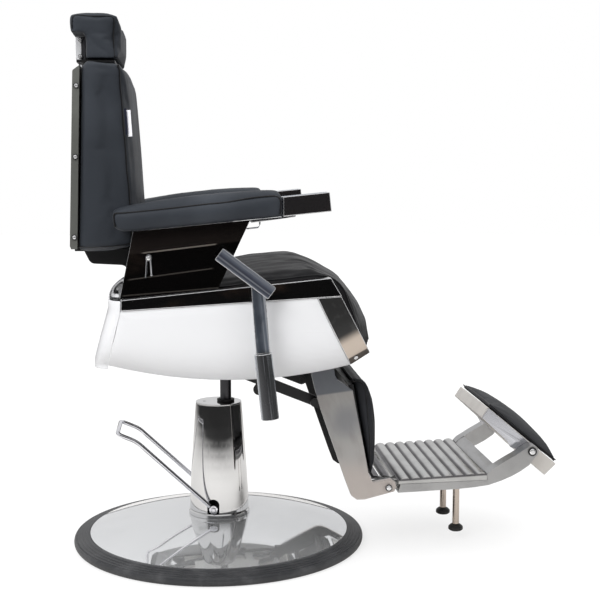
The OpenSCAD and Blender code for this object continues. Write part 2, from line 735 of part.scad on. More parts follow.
module back_screws() {
    half = back_w / 2;
    color([0.85, 0.85, 0.85]) both_sides() for (h = [28, back_h / 2 - 2, back_h - 52])
        bar_y(board_face(back_z + h) - 5.5, back_z + h, 8, -half - 2, -half - gap);
}

module back_cushion() {
    at = [0, 0.01, 0.03, 0.08, 0.18, 0.3, 0.42, 0.54, 0.66, 0.78, 0.88, 0.94, 0.975, 0.993, 1];
    z0 = back_z;
    color([0.28, 0.29, 0.31]) loft([for (t = at)
        let (z = z0 + back_h * t, in = end_draw(back_h * t, 16) + end_draw(back_h * (1 - t), 16))
        let (top = max(0, t - 0.94) / 0.06)
        let (x = board_face(min(z, z0 + back_h - 14)) + gap + 10 * top * top)
        pad_ring([x, 0, z], [1, 0, 0], [0, 1, 0],
            back_depth(t) - 0.75 * in - 7 * top * top, back_w / 2 - in * 0.6 - 4 * sin(180 * t), 8, 10)]);
}

// Bracket from the recline hinge to the flange under the back, with the link's arm below
module back_brackets() {
    h = hinge;
    flange_z = back_z - gap;
    y1 = bracket_y + bracket_t;
    profile = concat(
        rounded([[h.x - 12, h.y + 44], [h.x - 21, h.y + 80], [h.x - 94, h.y + 84],
            [h.x - 108, flange_z - 2], [h.x + 18, flange_z - 2], [h.x + 20, h.y + 70],
            [h.x + 15, h.y + 30]], [10, 14, 14, 0, 0, 0, 0]),
        arc(h, 15, 10, -50, 5), arc(link_rear, 11, -30, -190, 8), [[h.x - 15, h.y + 4]]);
    color([0.05, 0.05, 0.05]) difference() {
        union() {
            both_sides() plate_y(profile, bracket_y, y1);
            both_sides() bar_y(link_rear.x, link_rear.y, 8, link_y - 1, bracket_y + 1);
            translate([h.x - 126, -y1, flange_z - 5]) cube([146, 2 * y1, 5]);
        }
        bar_y(h.x, h.y, hinge_d - 0.1 + 2 * fit, -300, 300);
    }
}

// ---- headrest ----

head_z = back_z + back_h + 9;          // underside of the headrest pad
post_d = 10;
post_y = 72;
post_in = 7.5;                         // depth of the posts' middle in the back board
clamp_h = 46;
// Middle of the posts, from front to rear, at the clamp's height
post_x = board_face(head_z + 20) - post_in;

// One of the two posts, in line with the back board
module head_post(side, low, grow) {
    z0 = back_z + back_h - 190;
    x0 = board_face(z0) - post_in;
    translate([x0, side * post_y, z0]) rotate([0, back_lean, 0]) translate([0, 0, -low])
        cylinder(h = head_z + 4 + clamp_h - z0 + 2 * low, d = post_d + grow);
}

module headrest_posts() {
    color([0.8, 0.8, 0.82]) for (y = [-1, 1]) head_post(y, 0, 0);
}

module headrest_clamp() {
    x1 = post_x + 6.1;
    z0 = head_z + 4;
    half = post_y + 18;
    color([0.75, 0.75, 0.78]) difference() {
        union() {
            translate([x1 - 4, -half, z0]) cube([4, 2 * half, clamp_h]);
            both_sides() translate([x1 - 20, post_y - 12, z0]) cube([20, 24, clamp_h]);
        }
        for (y = [-1, 1]) head_post(y, 1, 2 * gap);
    }
}

module headrest_bolts() {
    y = -post_y - 12;
    color([0.9, 0.9, 0.92]) both_sides() for (h = [10, clamp_h - 2])
        bar_y(post_x - 3.8, head_z + h, 9, y - 5, y - gap);
}

module headrest_base() {
    color([0.08, 0.08, 0.08]) difference() {
        translate([post_x - 9.3, -head_w / 2 + 12, head_z - 5 - gap]) cube([78, head_w - 24, 5]);
        for (y = [-1, 1]) head_post(y, 1, 2 * gap);
    }
}

module headrest_pad() {
    notch = clamp_h + 8;
    x_front = post_x + 78;
    hs = [0, 1.5, 5, 14, 28, 40, notch - 2, notch, notch + 4, 60, 71,
        head_h - 9, head_h - 5, head_h - 1.5, head_h];
    color([0.25, 0.26, 0.28]) loft([for (h = hs)
        let (in = end_draw(h, 8) + end_draw(head_h - h, 10))
        let (low = h < notch, t = low ? head_t - 29.5 : head_t + 2 * sin(180 * (h - notch) / 60))
        let (bow = 3 * sin(180 * h / head_h))
        pad_ring([x_front - t + (low ? 0 : in * 0.6), 0, head_z + h], [1, 0, 0], [0, 1, 0],
            t - 0.85 * in, head_w / 2 - in * 0.5 - bow, bow, low ? 14 : 12)]);
}

// ---- recline lever ----

lever_dir = [cos(-37.3), sin(-37.3)];
lever_end = lever_hinge - 18 * lever_dir;
bar_t = 6;

module flat_bar(a, b, w, y0, t) {
    d = unit(b - a);
    s = w / 2 * [-d[1], d[0]];
    plate_y(rounded([a - s, b - s, b + s, a + s], 2, 3), y0, y0 + t);
}

module lever_shaft() {
    y1 = -plate_y1 - gap;
    color([0.15, 0.15, 0.16]) {
        bar_y(lever_hinge.x, lever_hinge.y, lever_d, -lever_y + 3, -rail_in + 8);
        bar_y(lever_hinge.x, lever_hinge.y, lever_d + 12, -lever_y + 3, y1);
    }
}

module lever_upper_bar() {
    color([0.45, 0.47, 0.52]) flat_bar(lever_end, lever_end + lever_upper * lever_dir, lever_w,
        -lever_y + 3 - bar_t - gap, bar_t);
}

grip_top = lever_hinge + [70, -184];
grip_dir = [sin(6.1), -cos(6.1)];

module lever_lower_bar() {
    top = lever_end + (lever_upper - 34) * lever_dir;
    y = -lever_y + 3.1;
    color([0.42, 0.44, 0.48]) flat_bar(top, grip_top - 0.7 * grip_dir, lever_w, y, bar_t);
}

module lever_grip() {
    a = atan2(grip_dir[0], grip_dir[1]);
    color([0.8, 0.8, 0.82]) translate([grip_top[0], -lever_y + 3 + bar_t / 2, grip_top[1]])
        rotate([0, a, 0]) cylinder(h = grip_l, d = grip_d);
}

// ---- leg rest ----

// Outline of the leg rest's side, from its hinge
leg_outline = [[-8, -93], [23, -183], [52, -267], [63, -296], [75, -305], [92, -305], [156, -289],
    [161, -280], [158, -268], [148, -262], [110, -268], [100, -249], [89, -188], [74, -115], [65, -68],
    [45, -53], [33, -45], [27, -34], [24, -14]];
function leg_profile(inset) = concat(
    raised([for (p = leg_outline) p], rest_hinge.x, rest_hinge.y),
    arc(rest_hinge, 22 - inset, -20, 200, 10), [rest_hinge + [-22, -36]]);

module leg_cover() {
    y0 = -(arm_plate_y + arm_plate_t + cover_t + 0.2);
    color([0.62, 0.6, 0.58]) difference() {
        plate_y(leg_profile(0), y0, y0 + cover_t);
        bar_y(rest_hinge.x, rest_hinge.y, rest_d - 0.1 + 2 * fit, -300, 0);
        bar_y(foot_hinge.x, foot_hinge.y, foot_pin_d, -300, 0);
    }
}
module leg_cover_right() leg_cover();
module leg_cover_left() mirror([0, 1, 0]) leg_cover();

calf_low = rest_hinge + [107, -262];   // lower rear corner of the calf pad
calf_high = rest_hinge + [70, -50];    // upper rear corner
calf_dir = unit(calf_high - calf_low);
calf_out = [calf_dir[1], -calf_dir[0]];
calf_board_t = 12;
tie_d = 20;                            // tubes that tie the two steel arms together

module leg_frame() {
    color([0.06, 0.06, 0.06]) difference() {
        union() {
            both_sides() plate_y(leg_profile(1), arm_plate_y, arm_plate_y + arm_plate_t);
            both_sides() lug_arm([link_front, link_front + [24, -6]], 9, arm_plate_y, arm_plate_t);
            for (up = [30, 172]) {
                tie = calf_low + up * calf_dir - (calf_board_t + 2 * gap + tie_d / 2) * calf_out;
                bar_y(tie.x, tie.y, tie_d, -arm_plate_y - 1, arm_plate_y + 1);
            }
            both_sides() bar_y(link_front.x, link_front.y, 10, link_y - 1, arm_plate_y + 1);
        }
        bar_y(rest_hinge.x, rest_hinge.y, rest_d - 0.1 + 2 * fit, -300, 300);
        bar_y(foot_hinge.x, foot_hinge.y, foot_pin_d, -300, 300);
    }
}

module calf_board() {
    half = arm_plate_y - board_side;
    a = calf_low - gap * calf_out + 6 * calf_dir;
    b = calf_high - gap * calf_out - 10 * calf_dir;
    rear = calf_board_t * calf_out;
    color([0.08, 0.08, 0.08]) plate_y([a, b, b - rear, a - rear], -half, half);
}

module calf_pad() {
    l = norm(calf_high - calf_low);
    at = [0, 0.012, 0.04, 0.09, 0.2, 0.34, 0.48, 0.62, 0.76, 0.87, 0.94, 0.975, 0.993, 1];
    color([0.2, 0.2, 0.21]) loft([for (t = at)
        let (low = end_draw(l * t, 12), high = end_draw(l * (1 - t), 26))
        let (p = calf_low + calf_dir * l * t)
        pad_ring([p[0], 0, p[1]], [calf_out[0], 0, calf_out[1]], [0, 1, 0],
            mix(10, 34, pow(sin(90 * min(1, t * 1.35)), 1.2)) - 0.55 * low - 0.8 * high,
            calf_w / 2 - 0.5 * (low + high) - 2.5 * sin(180 * t),
            6 * sin(180 * clamp(t, 0.01, 0.99)), 10)]);
}

module foot_pins() {
    y1 = arm_plate_y + arm_plate_t + cover_t + 0.2;
    color([0.8, 0.8, 0.8]) both_sides() {
        bar_y(foot_hinge.x, foot_hinge.y, foot_pin_d - 0.1, -y1, 22 - arm_plate_y);
        bar_y(foot_hinge.x, foot_hinge.y, 13, -y1 - 2.5, -y1 - gap / 2);
    }
}

// ---- links ----

module link_bars() {
    d = unit(link_front - link_rear);
    a = atan2(d[1], d[0]);
    tab = link_front - 130 * d + [3, -24];
    color([0.04, 0.04, 0.04]) both_sides() difference() {
        union() {
            plate_y(concat(arc(link_rear, 13, a + 90, a + 270, 8),
                arc(link_front, link_w / 2, a - 90, a + 90, 8)), link_y, link_y + link_t);
            plate_y(concat(arc(tab, 12, 150, 330, 8), [tab + [22, 22], tab + [4, 26]]),
                link_y, link_y + link_t);
        }
        bar_y(link_front.x, link_front.y, 10 + 2 * fit, 0, 200);
        bar_y(link_rear.x, link_rear.y, 14, 0, 200);
    }
}

// ---- footplate ----

// Side outline of the rails from the foot hinge, lower edge first, then back along the top
foot_under = [[21, -12.6], [62, -11.2], [106, -9.4], [153, -7.6], [190, -4.6], [219, -0.8], [247, 8],
    [270, 17.5], [289, 27.5], [309, 41]];
foot_over = [[300, 77], [279, 64], [253, 49.5], [238, 40], [226, 33], [217, 24], [217, 10], [26, 6]];
tread_x0 = 24;                         // rear end of the ridges, from the foot hinge
crest_z = 20;                          // height of the first ridge above the foot hinge
land_x = [216.5, 237.5];               // flat land between the ridges and the window

module footplate_frame() {
    h = foot_hinge;
    half = foot_w / 2;
    in = window_w / 2;
    lug = arm_plate_y - 20;
    color([0.66, 0.66, 0.66]) difference() {
        union() {
            both_sides() plate_y(concat(raised(foot_under, h.x, h.y),
                arc(flip_hinge, 14, -60, 110, 8), raised(foot_over, h.x, h.y)), in, half);
            plate_y(raised([[22, -12], [34, -11.6], [34, 6], [26, 6]], h.x, h.y), -half + 1, half - 1);
            plate_y(raised([[land_x[0], 9], [land_x[0], 22], [226, 32.5], [land_x[1], 38.5],
                [land_x[1], 20], [228, 11]], h.x, h.y), -half + 1, half - 1);
            both_sides() plate_y(concat(arc(h, 11, 90, 270, 8),
                raised([[26, -11], [26, 5.5], [20, 5.8], [8, 9.5]], h.x, h.y)), lug, lug + 16);
        }
        bar_y(h.x, h.y, foot_pin_d - 0.1 + 2 * fit, -300, 300);
        bar_y(flip_hinge.x, flip_hinge.y, flip_pin_d + 2 * fit, -300, 300);
    }
}

// Top of the ridges' crests at x from the foot hinge
function crest(x) = crest_z + 0.045 * (x - tread_x0 - 12);

// Underside of the tread at x from the foot hinge
function tread_under(x) = mix(6.3, 10, (x - tread_x0) / (land_x[0] - tread_x0));

module footplate_tread() {
    h = foot_hinge;
    half = foot_w / 2 - 1;
    count = floor((land_x[0] - gap - tread_x0) / ridge_pitch);
    end = land_x[0] - gap;
    ridge = [for (i = [0 : count - 1], t = [0 : 0.2 : 0.8])
        let (x = end - (count - i - t) * ridge_pitch)
        [x, crest(x) - ridge_h * (1 - pow(sin(180 * t), 0.6))]];
    slat_half = 120;
    x0 = tread_x0 - 2;
    color([0.72, 0.72, 0.71]) {
        plate_y(raised(concat([[tread_x0, tread_under(tread_x0)], [x0, 6.3], [x0, crest(x0) - ridge_h]],
            ridge, [[end, crest(end) - ridge_h], [end, tread_under(end)]]), h.x, h.y), -half, half);
        // heel slats: the one next to the tread is narrow
        for (slat = [[5.5, 0], [29.5, 12], [52, 12]])
            let (x = x0 - slat[0], wide = 5.5 + slat[1])
            plate_y(raised([[x, 6.4], [x + wide + slat[1] / 12, 6.4], [x + wide, 12], [x + 5, 14],
                [x, 11]], h.x, h.y), -slat_half, slat_half);
        both_sides() plate_y(raised([[x0 - 52, 6.4], [x0 - 52, 11], [x0, 11], [x0, 6.4]], h.x, h.y),
            slat_half - 8, slat_half);
    }
}

feet_x = 172;                          // middle of the feet, from the foot hinge
feet_at = [foot_hinge.x + feet_x, feet_gap / 2];
glide_h = 15;

module foot_legs() {
    top = foot_hinge.y + tread_under(feet_x - feet_rod_d / 2) - gap;
    color([0.62, 0.56, 0.5]) both_sides() translate([feet_at[0], feet_at[1], feet_clear + glide_h + gap])
        cylinder(h = top - feet_clear - glide_h - gap, d = feet_rod_d);
}

module foot_glides() {
    color([0.05, 0.05, 0.05]) both_sides()
        translate([feet_at[0], feet_at[1], feet_clear]) rotate_extrude() polygon([
        [0, 0], [glide_d / 2 - 4, 0], [glide_d / 2, 3], [glide_d / 2, 9], [glide_d / 2 - 4, glide_h - 2],
        [feet_rod_d / 2 + 2, glide_h], [0, glide_h]]);
}

// ---- flip-over footrest ----

flip_slope = 39.9;                     // slope of the padded face
flip_dir = [-cos(flip_slope), sin(flip_slope)];
flip_up = [sin(flip_slope), cos(flip_slope)];
flip_heel = flip_hinge - 76.4 * flip_dir + 12.8 * flip_up;
flip_half = window_w / 2 - 8.5;
flip_t0 = 35.5;                        // thickness of the plate at the heel
flip_t1 = 27;                          // and at its raised end

// Point on the flip-over plate: s up its padded face from the heel, t above that face
function flip_point(s, t) = flip_heel + s * flip_dir + t * flip_up;

module flip_plate() {
    color([0.68, 0.66, 0.62]) plate_y([flip_point(4, -flip_t0), flip_point(0, 0),
        flip_point(flip_l, 0), flip_point(flip_l - 3, -flip_t1)], -flip_half, flip_half);
}

module flip_pad() {
    l = flip_l - 2;
    at = [0, 0.012, 0.04, 0.09, 0.16, 0.26, 0.38, 0.5, 0.62, 0.74, 0.84, 0.91, 0.96, 0.988, 1];
    color([0.22, 0.22, 0.23]) loft([for (t = at)
        let (in = end_draw(l * t, 12) + end_draw(l * (1 - t), 8))
        let (p = flip_point(1.5 + l * t, gap))
        pad_ring([p[0], 0, p[1]], [flip_up[0], 0, flip_up[1]], [0, 1, 0],
            flip_pad_t - in * 0.75, flip_half - 1.5 - in * 0.5,
            flip_crown * pow(sin(180 * clamp(t, 0.004, 0.996)), 0.38), 8)]);
}

module flip_brackets() {
    y0 = flip_half + gap;
    y1 = window_w / 2 - 3;
    profile = concat([flip_point(flip_l - 2, -0.5), flip_point(flip_l - 5, -flip_t1 + 1)],
        [flip_point(125, -30), flip_point(108, -36)],
        arc(flip_hinge, 14, 225, 330, 6), [flip_point(66, -2)]);
    color([0.7, 0.71, 0.74]) both_sides() {
        plate_y(profile, y0, y1);
        bar_y(flip_hinge.x, flip_hinge.y, flip_pin_d, y0, foot_w / 2 + 1);
    }
}

base_ring();
base_dish();
base_ballast();
pump_body();
column_ring();
column_cover();
column_cap();
rod_seal();
pedal_axle();
pedal_hubs();
pedal_rod();
piston_rod();
swivel_hub();
seat_frame();
hinge_axles();
seat_board();
seat_cushion();
shell_right();
shell_left();
shell_rear();
rail_right();
rail_left();
strip_right();
strip_left();
trim_screws();
side_plate_right();
side_plate_left();
arm_bracket_right();
arm_bracket_left();
arm_pad_right();
arm_pad_left();
arm_hooks();
side_hook();
lever_shaft();
lever_upper_bar();
lever_lower_bar();
lever_grip();
back_brackets();
back_board();
back_cushion();
back_screws();
headrest_pad();
headrest_base();
headrest_clamp();
headrest_posts();
headrest_bolts();
leg_cover_right();
leg_cover_left();
leg_frame();
calf_board();
calf_pad();
foot_pins();
link_bars();
footplate_frame();
footplate_tread();
foot_legs();
foot_glides();
flip_plate();
flip_pad();
flip_brackets();
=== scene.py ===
"""Looks of a hydraulic barber chair that has a ridged footplate and a flip-over footrest.

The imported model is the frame: every piece here lies where its node lies, in metres, with X to the
sitter's front, Y to the sitter's left and Z up.
"""

import json
import logging
import math
from dataclasses import dataclass, field, replace
from typing import Callable, Iterable, Sequence

import bmesh
import bpy
from mathutils import Matrix, Vector, kdtree, noise
from mathutils.bvhtree import BVHTree

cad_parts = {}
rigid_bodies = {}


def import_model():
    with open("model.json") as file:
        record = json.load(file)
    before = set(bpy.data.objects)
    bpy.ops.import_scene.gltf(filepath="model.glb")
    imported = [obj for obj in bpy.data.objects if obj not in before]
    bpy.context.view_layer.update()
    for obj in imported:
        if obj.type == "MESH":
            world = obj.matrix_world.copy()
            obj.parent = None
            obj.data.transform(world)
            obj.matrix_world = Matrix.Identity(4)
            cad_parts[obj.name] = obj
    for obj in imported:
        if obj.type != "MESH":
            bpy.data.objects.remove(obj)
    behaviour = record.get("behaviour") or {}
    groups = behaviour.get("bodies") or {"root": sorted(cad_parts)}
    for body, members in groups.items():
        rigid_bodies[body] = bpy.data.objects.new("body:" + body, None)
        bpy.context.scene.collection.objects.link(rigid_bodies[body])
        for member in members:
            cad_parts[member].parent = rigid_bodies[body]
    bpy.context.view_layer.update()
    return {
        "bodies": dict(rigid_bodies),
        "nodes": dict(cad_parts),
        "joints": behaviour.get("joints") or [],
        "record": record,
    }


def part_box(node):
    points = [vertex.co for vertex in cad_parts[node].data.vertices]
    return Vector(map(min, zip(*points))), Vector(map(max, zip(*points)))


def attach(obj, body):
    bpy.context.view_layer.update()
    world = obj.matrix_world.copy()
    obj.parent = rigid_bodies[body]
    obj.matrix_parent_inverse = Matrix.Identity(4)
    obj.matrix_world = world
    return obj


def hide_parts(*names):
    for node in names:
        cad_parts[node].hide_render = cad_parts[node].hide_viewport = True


LOG = logging.getLogger("barber_chair")
UP = (0.0, 0.0, 1.0)
# Points nearer than this many metres are one.
MERGE = 1e-6
# Faces that meet at less than this many degrees are one.
FLAT_ANGLE = 0.3
# A face whose normal has less of Y than this is a rim, not a side.
SIDE_SHARE = 0.6
# Sign of Y and name of each side.
BOTH_SIDES = ((-1, "right"), (1, "left"))
Triple = tuple[float, float, float]
Colour = Triple
Point = tuple[float, float]
Line = tuple[Point, ...]


# ---- shader expressions ----


class Wire:
    """One output of a shader node. Arithmetic on it adds Math nodes."""

    def __init__(self, graph: "Graph", socket: bpy.types.NodeSocket) -> None:
        """Keeps the graph and the socket that the wire starts from."""
        self.graph = graph
        self.socket = socket

    def __add__(self, other: "Value") -> "Wire":
        """Sum of two values."""
        return self.graph.math("ADD", self, other)

    def __sub__(self, other: "Value") -> "Wire":
        """Difference of two values."""
        return self.graph.math("SUBTRACT", self, other)

    def __rsub__(self, other: "Value") -> "Wire":
        """Difference with the wire on the right."""
        return self.graph.math("SUBTRACT", other, self)

    def __mul__(self, other: "Value") -> "Wire":
        """Product of two values."""
        return self.graph.math("MULTIPLY", self, other)

    def __pow__(self, other: "Value") -> "Wire":
        """Power of the value."""
        return self.graph.math("POWER", self, other)

    def band(self, low: float, high: float) -> "Wire":
        """Smooth step from 0 at low to 1 at high; the step falls if low is the greater."""
        return self.graph.node(
            "ShaderNodeMapRange",
            {"interpolation_type": "SMOOTHSTEP", "clamp": True},
            {"Value": self, "From Min": low, "From Max": high},
        )

    def size(self) -> "Wire":
        """Absolute value."""
        return self.graph.math("ABSOLUTE", self)


Value = float | Wire


class Graph:
    """Node tree of a finish or of the world."""

    def __init__(self, tree: bpy.types.NodeTree) -> None:
        """Empties the tree."""
        self.tree = tree
        tree.nodes.clear()

    def node(self, kind: str, settings: dict | None = None, inputs: dict | None = None) -> Wire:
        """Adds one node.

        Args:
            kind: the node's type.
            settings: its own settings, set before the sockets.
            inputs: socket name or number to a value, a vector, a colour or a Wire.

        Returns:
            The node's first output.
        """
        node = self.tree.nodes.new(kind)
        for name, value in (settings or {}).items():
            setattr(node, name, value)
        for name, value in (inputs or {}).items():
            socket = node.inputs[name]
            if isinstance(value, Wire):
                self.tree.links.new(value.socket, socket)
            else:
                socket.default_value = value
        return Wire(self, node.outputs[0])

    def end(self, kind: str, shader: Wire) -> None:
        """Adds the output node, of the kind for a material or a world."""
        self.tree.links.new(shader.socket, self.tree.nodes.new(kind).inputs["Surface"])

    def output(self, wire: Wire, name: str) -> Wire:
        """Another output of the same node."""
        return Wire(self, wire.socket.node.outputs[name])

    def math(self, operation: str, first: Value, second: Value = 0.0) -> Wire:
        """One Math node."""
        return self.node("ShaderNodeMath", {"operation": operation}, {0: first, 1: second})

    def place(self) -> Wire:
        """Position in the chair's own frame, in metres."""
        return self.output(self.node("ShaderNodeTexCoord"), "Object")

    def axes(self, vector: Wire | None = None) -> tuple[Wire, Wire, Wire]:
        """The three parts of a vector, or of the position."""
        parts = self.node("ShaderNodeSeparateXYZ", inputs={"Vector": vector or self.place()})
        return parts, self.output(parts, "Y"), self.output(parts, "Z")

    def noise(
        self, scale: float, detail: float = 3.0, rough: float = 0.5, at: Wire | None = None
    ) -> Wire:
        """Noise between 0 and 1 over the position, or over another vector."""
        return self.node(
            "ShaderNodeTexNoise",
            inputs={"Vector": at or self.place(), "Scale": scale, "Detail": detail, "Roughness": rough},
        )

    def streaks(self, scale: Triple, detail: float = 3.0, rough: float = 0.5, turn: float = 0.0) -> Wire:
        """Noise over the position turned about Y by turn degrees, then scaled along its own axes."""
        rotation = (0.0, math.radians(turn), 0.0)
        turned = self.node("ShaderNodeMapping", inputs={"Vector": self.place(), "Rotation": rotation})
        drawn_out = self.node("ShaderNodeMapping", inputs={"Vector": turned, "Scale": scale})
        return self.noise(1.0, detail, rough, drawn_out)

    def cells(self, scale: float) -> Wire:
        """Distance to the border between the cells of a grain."""
        inputs = {"Vector": self.place(), "Scale": scale}
        return self.node("ShaderNodeTexVoronoi", {"feature": "DISTANCE_TO_EDGE"}, inputs)

    def blend(self, share: Value, first: Colour | Wire, second: Colour | Wire) -> Wire:
        """Colour that goes from first to second with share."""
        mix = self.tree.nodes.new("ShaderNodeMix")
        mix.data_type = "RGBA"
        sockets = [s for s in mix.inputs if s.enabled]
        for socket, value in zip(sockets, (share, first, second)):
            if isinstance(value, Wire):
                self.tree.links.new(value.socket, socket)
            else:
                socket.default_value = value if isinstance(value, float) else (*value, 1.0)
        return Wire(self, next(s for s in mix.outputs if s.enabled))

    def bump(
        self, height: Wire, depth: float, strength: float = 1.0, under: Wire | None = None
    ) -> Wire:
        """Normal that is roughened by height, with depth in metres, over the normal under it."""
        inputs = {"Height": height, "Distance": depth, "Strength": strength}
        if under is not None:
            inputs["Normal"] = under
        return self.node("ShaderNodeBump", inputs=inputs)


# ---- finishes ----


def toned(colour: Colour, share: float, lift: float = 0.0) -> Colour:
    """A colour times share, with lift added to each part."""
    return tuple(part * share + lift for part in colour)


def above_line(x: Wire, z: Wire, ends: tuple[float, float, float, float]) -> Wire:
    """Height above the line through two points, which are given as X, Z, X and Z."""
    x0, z0, x1, z1 = ends
    slope = (z1 - z0) / (x1 - x0)
    return z - (x * slope + (z0 - slope * x0))


@dataclass(frozen=True)
class Finish:
    """One finish. Each kind paints a Principled shader in its own way."""

    name: str
    colour: Colour
    roughness: float = 0.4

    def material(self) -> bpy.types.Material:
        """The finish's material, made the first time it is asked for."""
        title = f"{self.name}_finish"
        found = bpy.data.materials.get(title)
        if found is not None:
            return found
        made = bpy.data.materials.new(title)
        made.use_nodes = True
        graph = Graph(made.node_tree)
        sockets = {"Base Color": (*self.colour, 1.0), "Roughness": self.roughness}
        sockets.update(self.paint(graph))
        shader = graph.node("ShaderNodeBsdfPrincipled", inputs=sockets)
        graph.end("ShaderNodeOutputMaterial", shader)
        return made

    def paint(self, graph: Graph) -> dict:
        """Socket values and wires that differ from the plain colour."""
        raise NotImplementedError


@dataclass(frozen=True)
class Chrome(Finish):
    """Mirror plate with faint smudges and dust."""

    smudge: float = 0.05
    metallic: float = 1.0

    def paint(self, graph: Graph) -> dict:
        """Polished metal whose roughness varies a little."""
        haze = graph.noise(9.0, 4.0, 0.6).band(0.42, 0.72)
        dust = graph.noise(160.0, 2.0).band(0.6, 0.75)
        return {
            "Base Color": graph.blend(haze * 0.6, self.colour, toned(self.colour, 0.93)),
            "Metallic": self.metallic,
            "Roughness": haze * self.smudge + dust * (self.smudge * 0.5) + self.roughness,
        }


@dataclass(frozen=True)
class SplitChrome(Chrome):
    """Chrome that is bright up to one place along X, with a painted dark reflection past it."""

    bright_to: float = 0.0
    border: float = 0.0006
    dark: Colour = (0.05, 0.05, 0.055)

    def paint(self, graph: Graph) -> dict:
        """The chrome, with its painted dark reflection in front."""
        sockets = super().paint(graph)
        x = graph.axes()[0]
        past = x.band(self.bright_to - self.border, self.bright_to + self.border)
        return {**sockets, "Base Color": graph.blend(past, sockets["Base Color"], self.dark)}


@dataclass(frozen=True)
class Brushed(Finish):
    """Brushed or milled metal with stains along its scratches, which fall to the front by turn degrees."""

    turn: float = 0.0
    streak: float = 0.14
    stain_and_shade: Colour = (0.3, 0.3, 0.32)
    stain_share: float = 0.35
    scratch_depth: float = 0.00002

    def paint(self, graph: Graph) -> dict:
        """Metal with long fine scratches and stains along them."""
        scratches = graph.streaks((6.0, 500.0, 500.0), 3.0, 0.6, turn=-self.turn)
        stains = graph.streaks((14.0, 45.0, 45.0), 4.0, 0.55, turn=-self.turn)
        spots = stains.band(0.45, 0.72)
        return {
            "Base Color": graph.blend(spots * self.stain_share, self.colour, self.stain_and_shade),
            "Metallic": 1.0,
            "Roughness": scratches * self.streak + spots * 0.08 + self.roughness,
            "Normal": graph.bump(scratches, self.scratch_depth),
        }


@dataclass(frozen=True)
class DarkPolish(Finish):
    """Near-black polished metal that shows faint brown and grey marks."""

    mark: Colour = (0.09, 0.06, 0.045)

    def paint(self, graph: Graph) -> dict:
        """Dark mirror with a few warm stains and fine scratches."""
        marks = graph.streaks((7.0, 7.0, 16.0), 4.0, 0.6).band(0.5, 0.75)
        fine = graph.streaks((60.0, 60.0, 400.0), 2.0)
        return {
            "Base Color": graph.blend(marks, self.colour, self.mark),
            "Metallic": 0.85,
            "Roughness": marks * 0.07 + fine * 0.05 + self.roughness,
            "Coat Weight": 0.5,
            "Coat Roughness": 0.06,
        }


@dataclass(frozen=True)
class LinedPolish(DarkPolish):
    """Dark polished plate with painted reflections: faint light lines across it and a warmer tone over the
    first.
    """

    lines: tuple[tuple[float, float, float, float], ...] = ()
    first_share: float = 0.8
    later_share: float = 0.4
    line_width: float = 0.0024
    reflection_line_tone: Colour = (0.2, 0.18, 0.16)
    reflection_upper_tone: Colour = (0.032, 0.023, 0.019)

    def paint(self, graph: Graph) -> dict:
        """The dark mirror, with each painted reflection line drawn between its two ends in X and Z."""
        sockets = super().paint(graph)
        x, _, z = graph.axes()
        colour = sockets["Base Color"]
        dull: Value = 0.0
        for i, line in enumerate(self.lines):
            above = above_line(x, z, line)
            share = self.later_share
            if i == 0:
                share = self.first_share
                # Painted reflection: a warmer tone above the first line.
                upper = above.band(-0.001, 0.002) * 0.7
                colour, dull = graph.blend(upper, colour, self.reflection_upper_tone), upper * 0.5 + dull
            # Painted reflection: a faint light line along each given line.
            ends = x.band(line[0] - 0.004, line[0] + 0.006) * x.band(line[2] + 0.004, line[2] - 0.006)
            mark = above.size().band(self.line_width, self.line_width * 0.25) * ends * share
            colour, dull = graph.blend(mark, colour, self.reflection_line_tone), mark * 0.6 + dull
        return {**sockets, "Base Color": colour, "Metallic": sockets["Metallic"] - dull}


@dataclass(frozen=True)
class StripMetal(Finish):
    """Brushed strip that is dark at its top, champagne below and brown at its foot."""

    low: Colour = (0.58, 0.5, 0.43)
    foot: Colour = (0.1, 0.085, 0.075)
    worn: Colour = (0.12, 0.12, 0.12)
    lean: float = 0.55
    dark_above: float = 0.372
    light_below: float = 0.347
    foot_below: float = 0.3115
    border: float = 0.002
    scratch_turn: float = 25.0

    def paint(self, graph: Graph) -> dict:
        """Metal whose colour changes along the strip, in bands that rise to the front."""
        x, _, z = graph.axes()
        along = z - x * self.lean
        scratches = graph.streaks((500.0, 500.0, 9.0), 3.0, turn=self.scratch_turn)
        worn = graph.noise(60.0, 3.0).band(0.5, 0.7)
        upper = graph.blend(worn * 0.3, self.colour, self.worn)
        at_foot = along.band(self.foot_below + self.border, self.foot_below - self.border)
        lower = graph.blend(at_foot, self.low, self.foot)
        return {
            "Base Color": graph.blend(along.band(self.dark_above, self.light_below), upper, lower),
            "Metallic": 0.8,
            "Roughness": scratches * 0.14 + self.roughness,
            "Normal": graph.bump(scratches, 0.00002),
        }


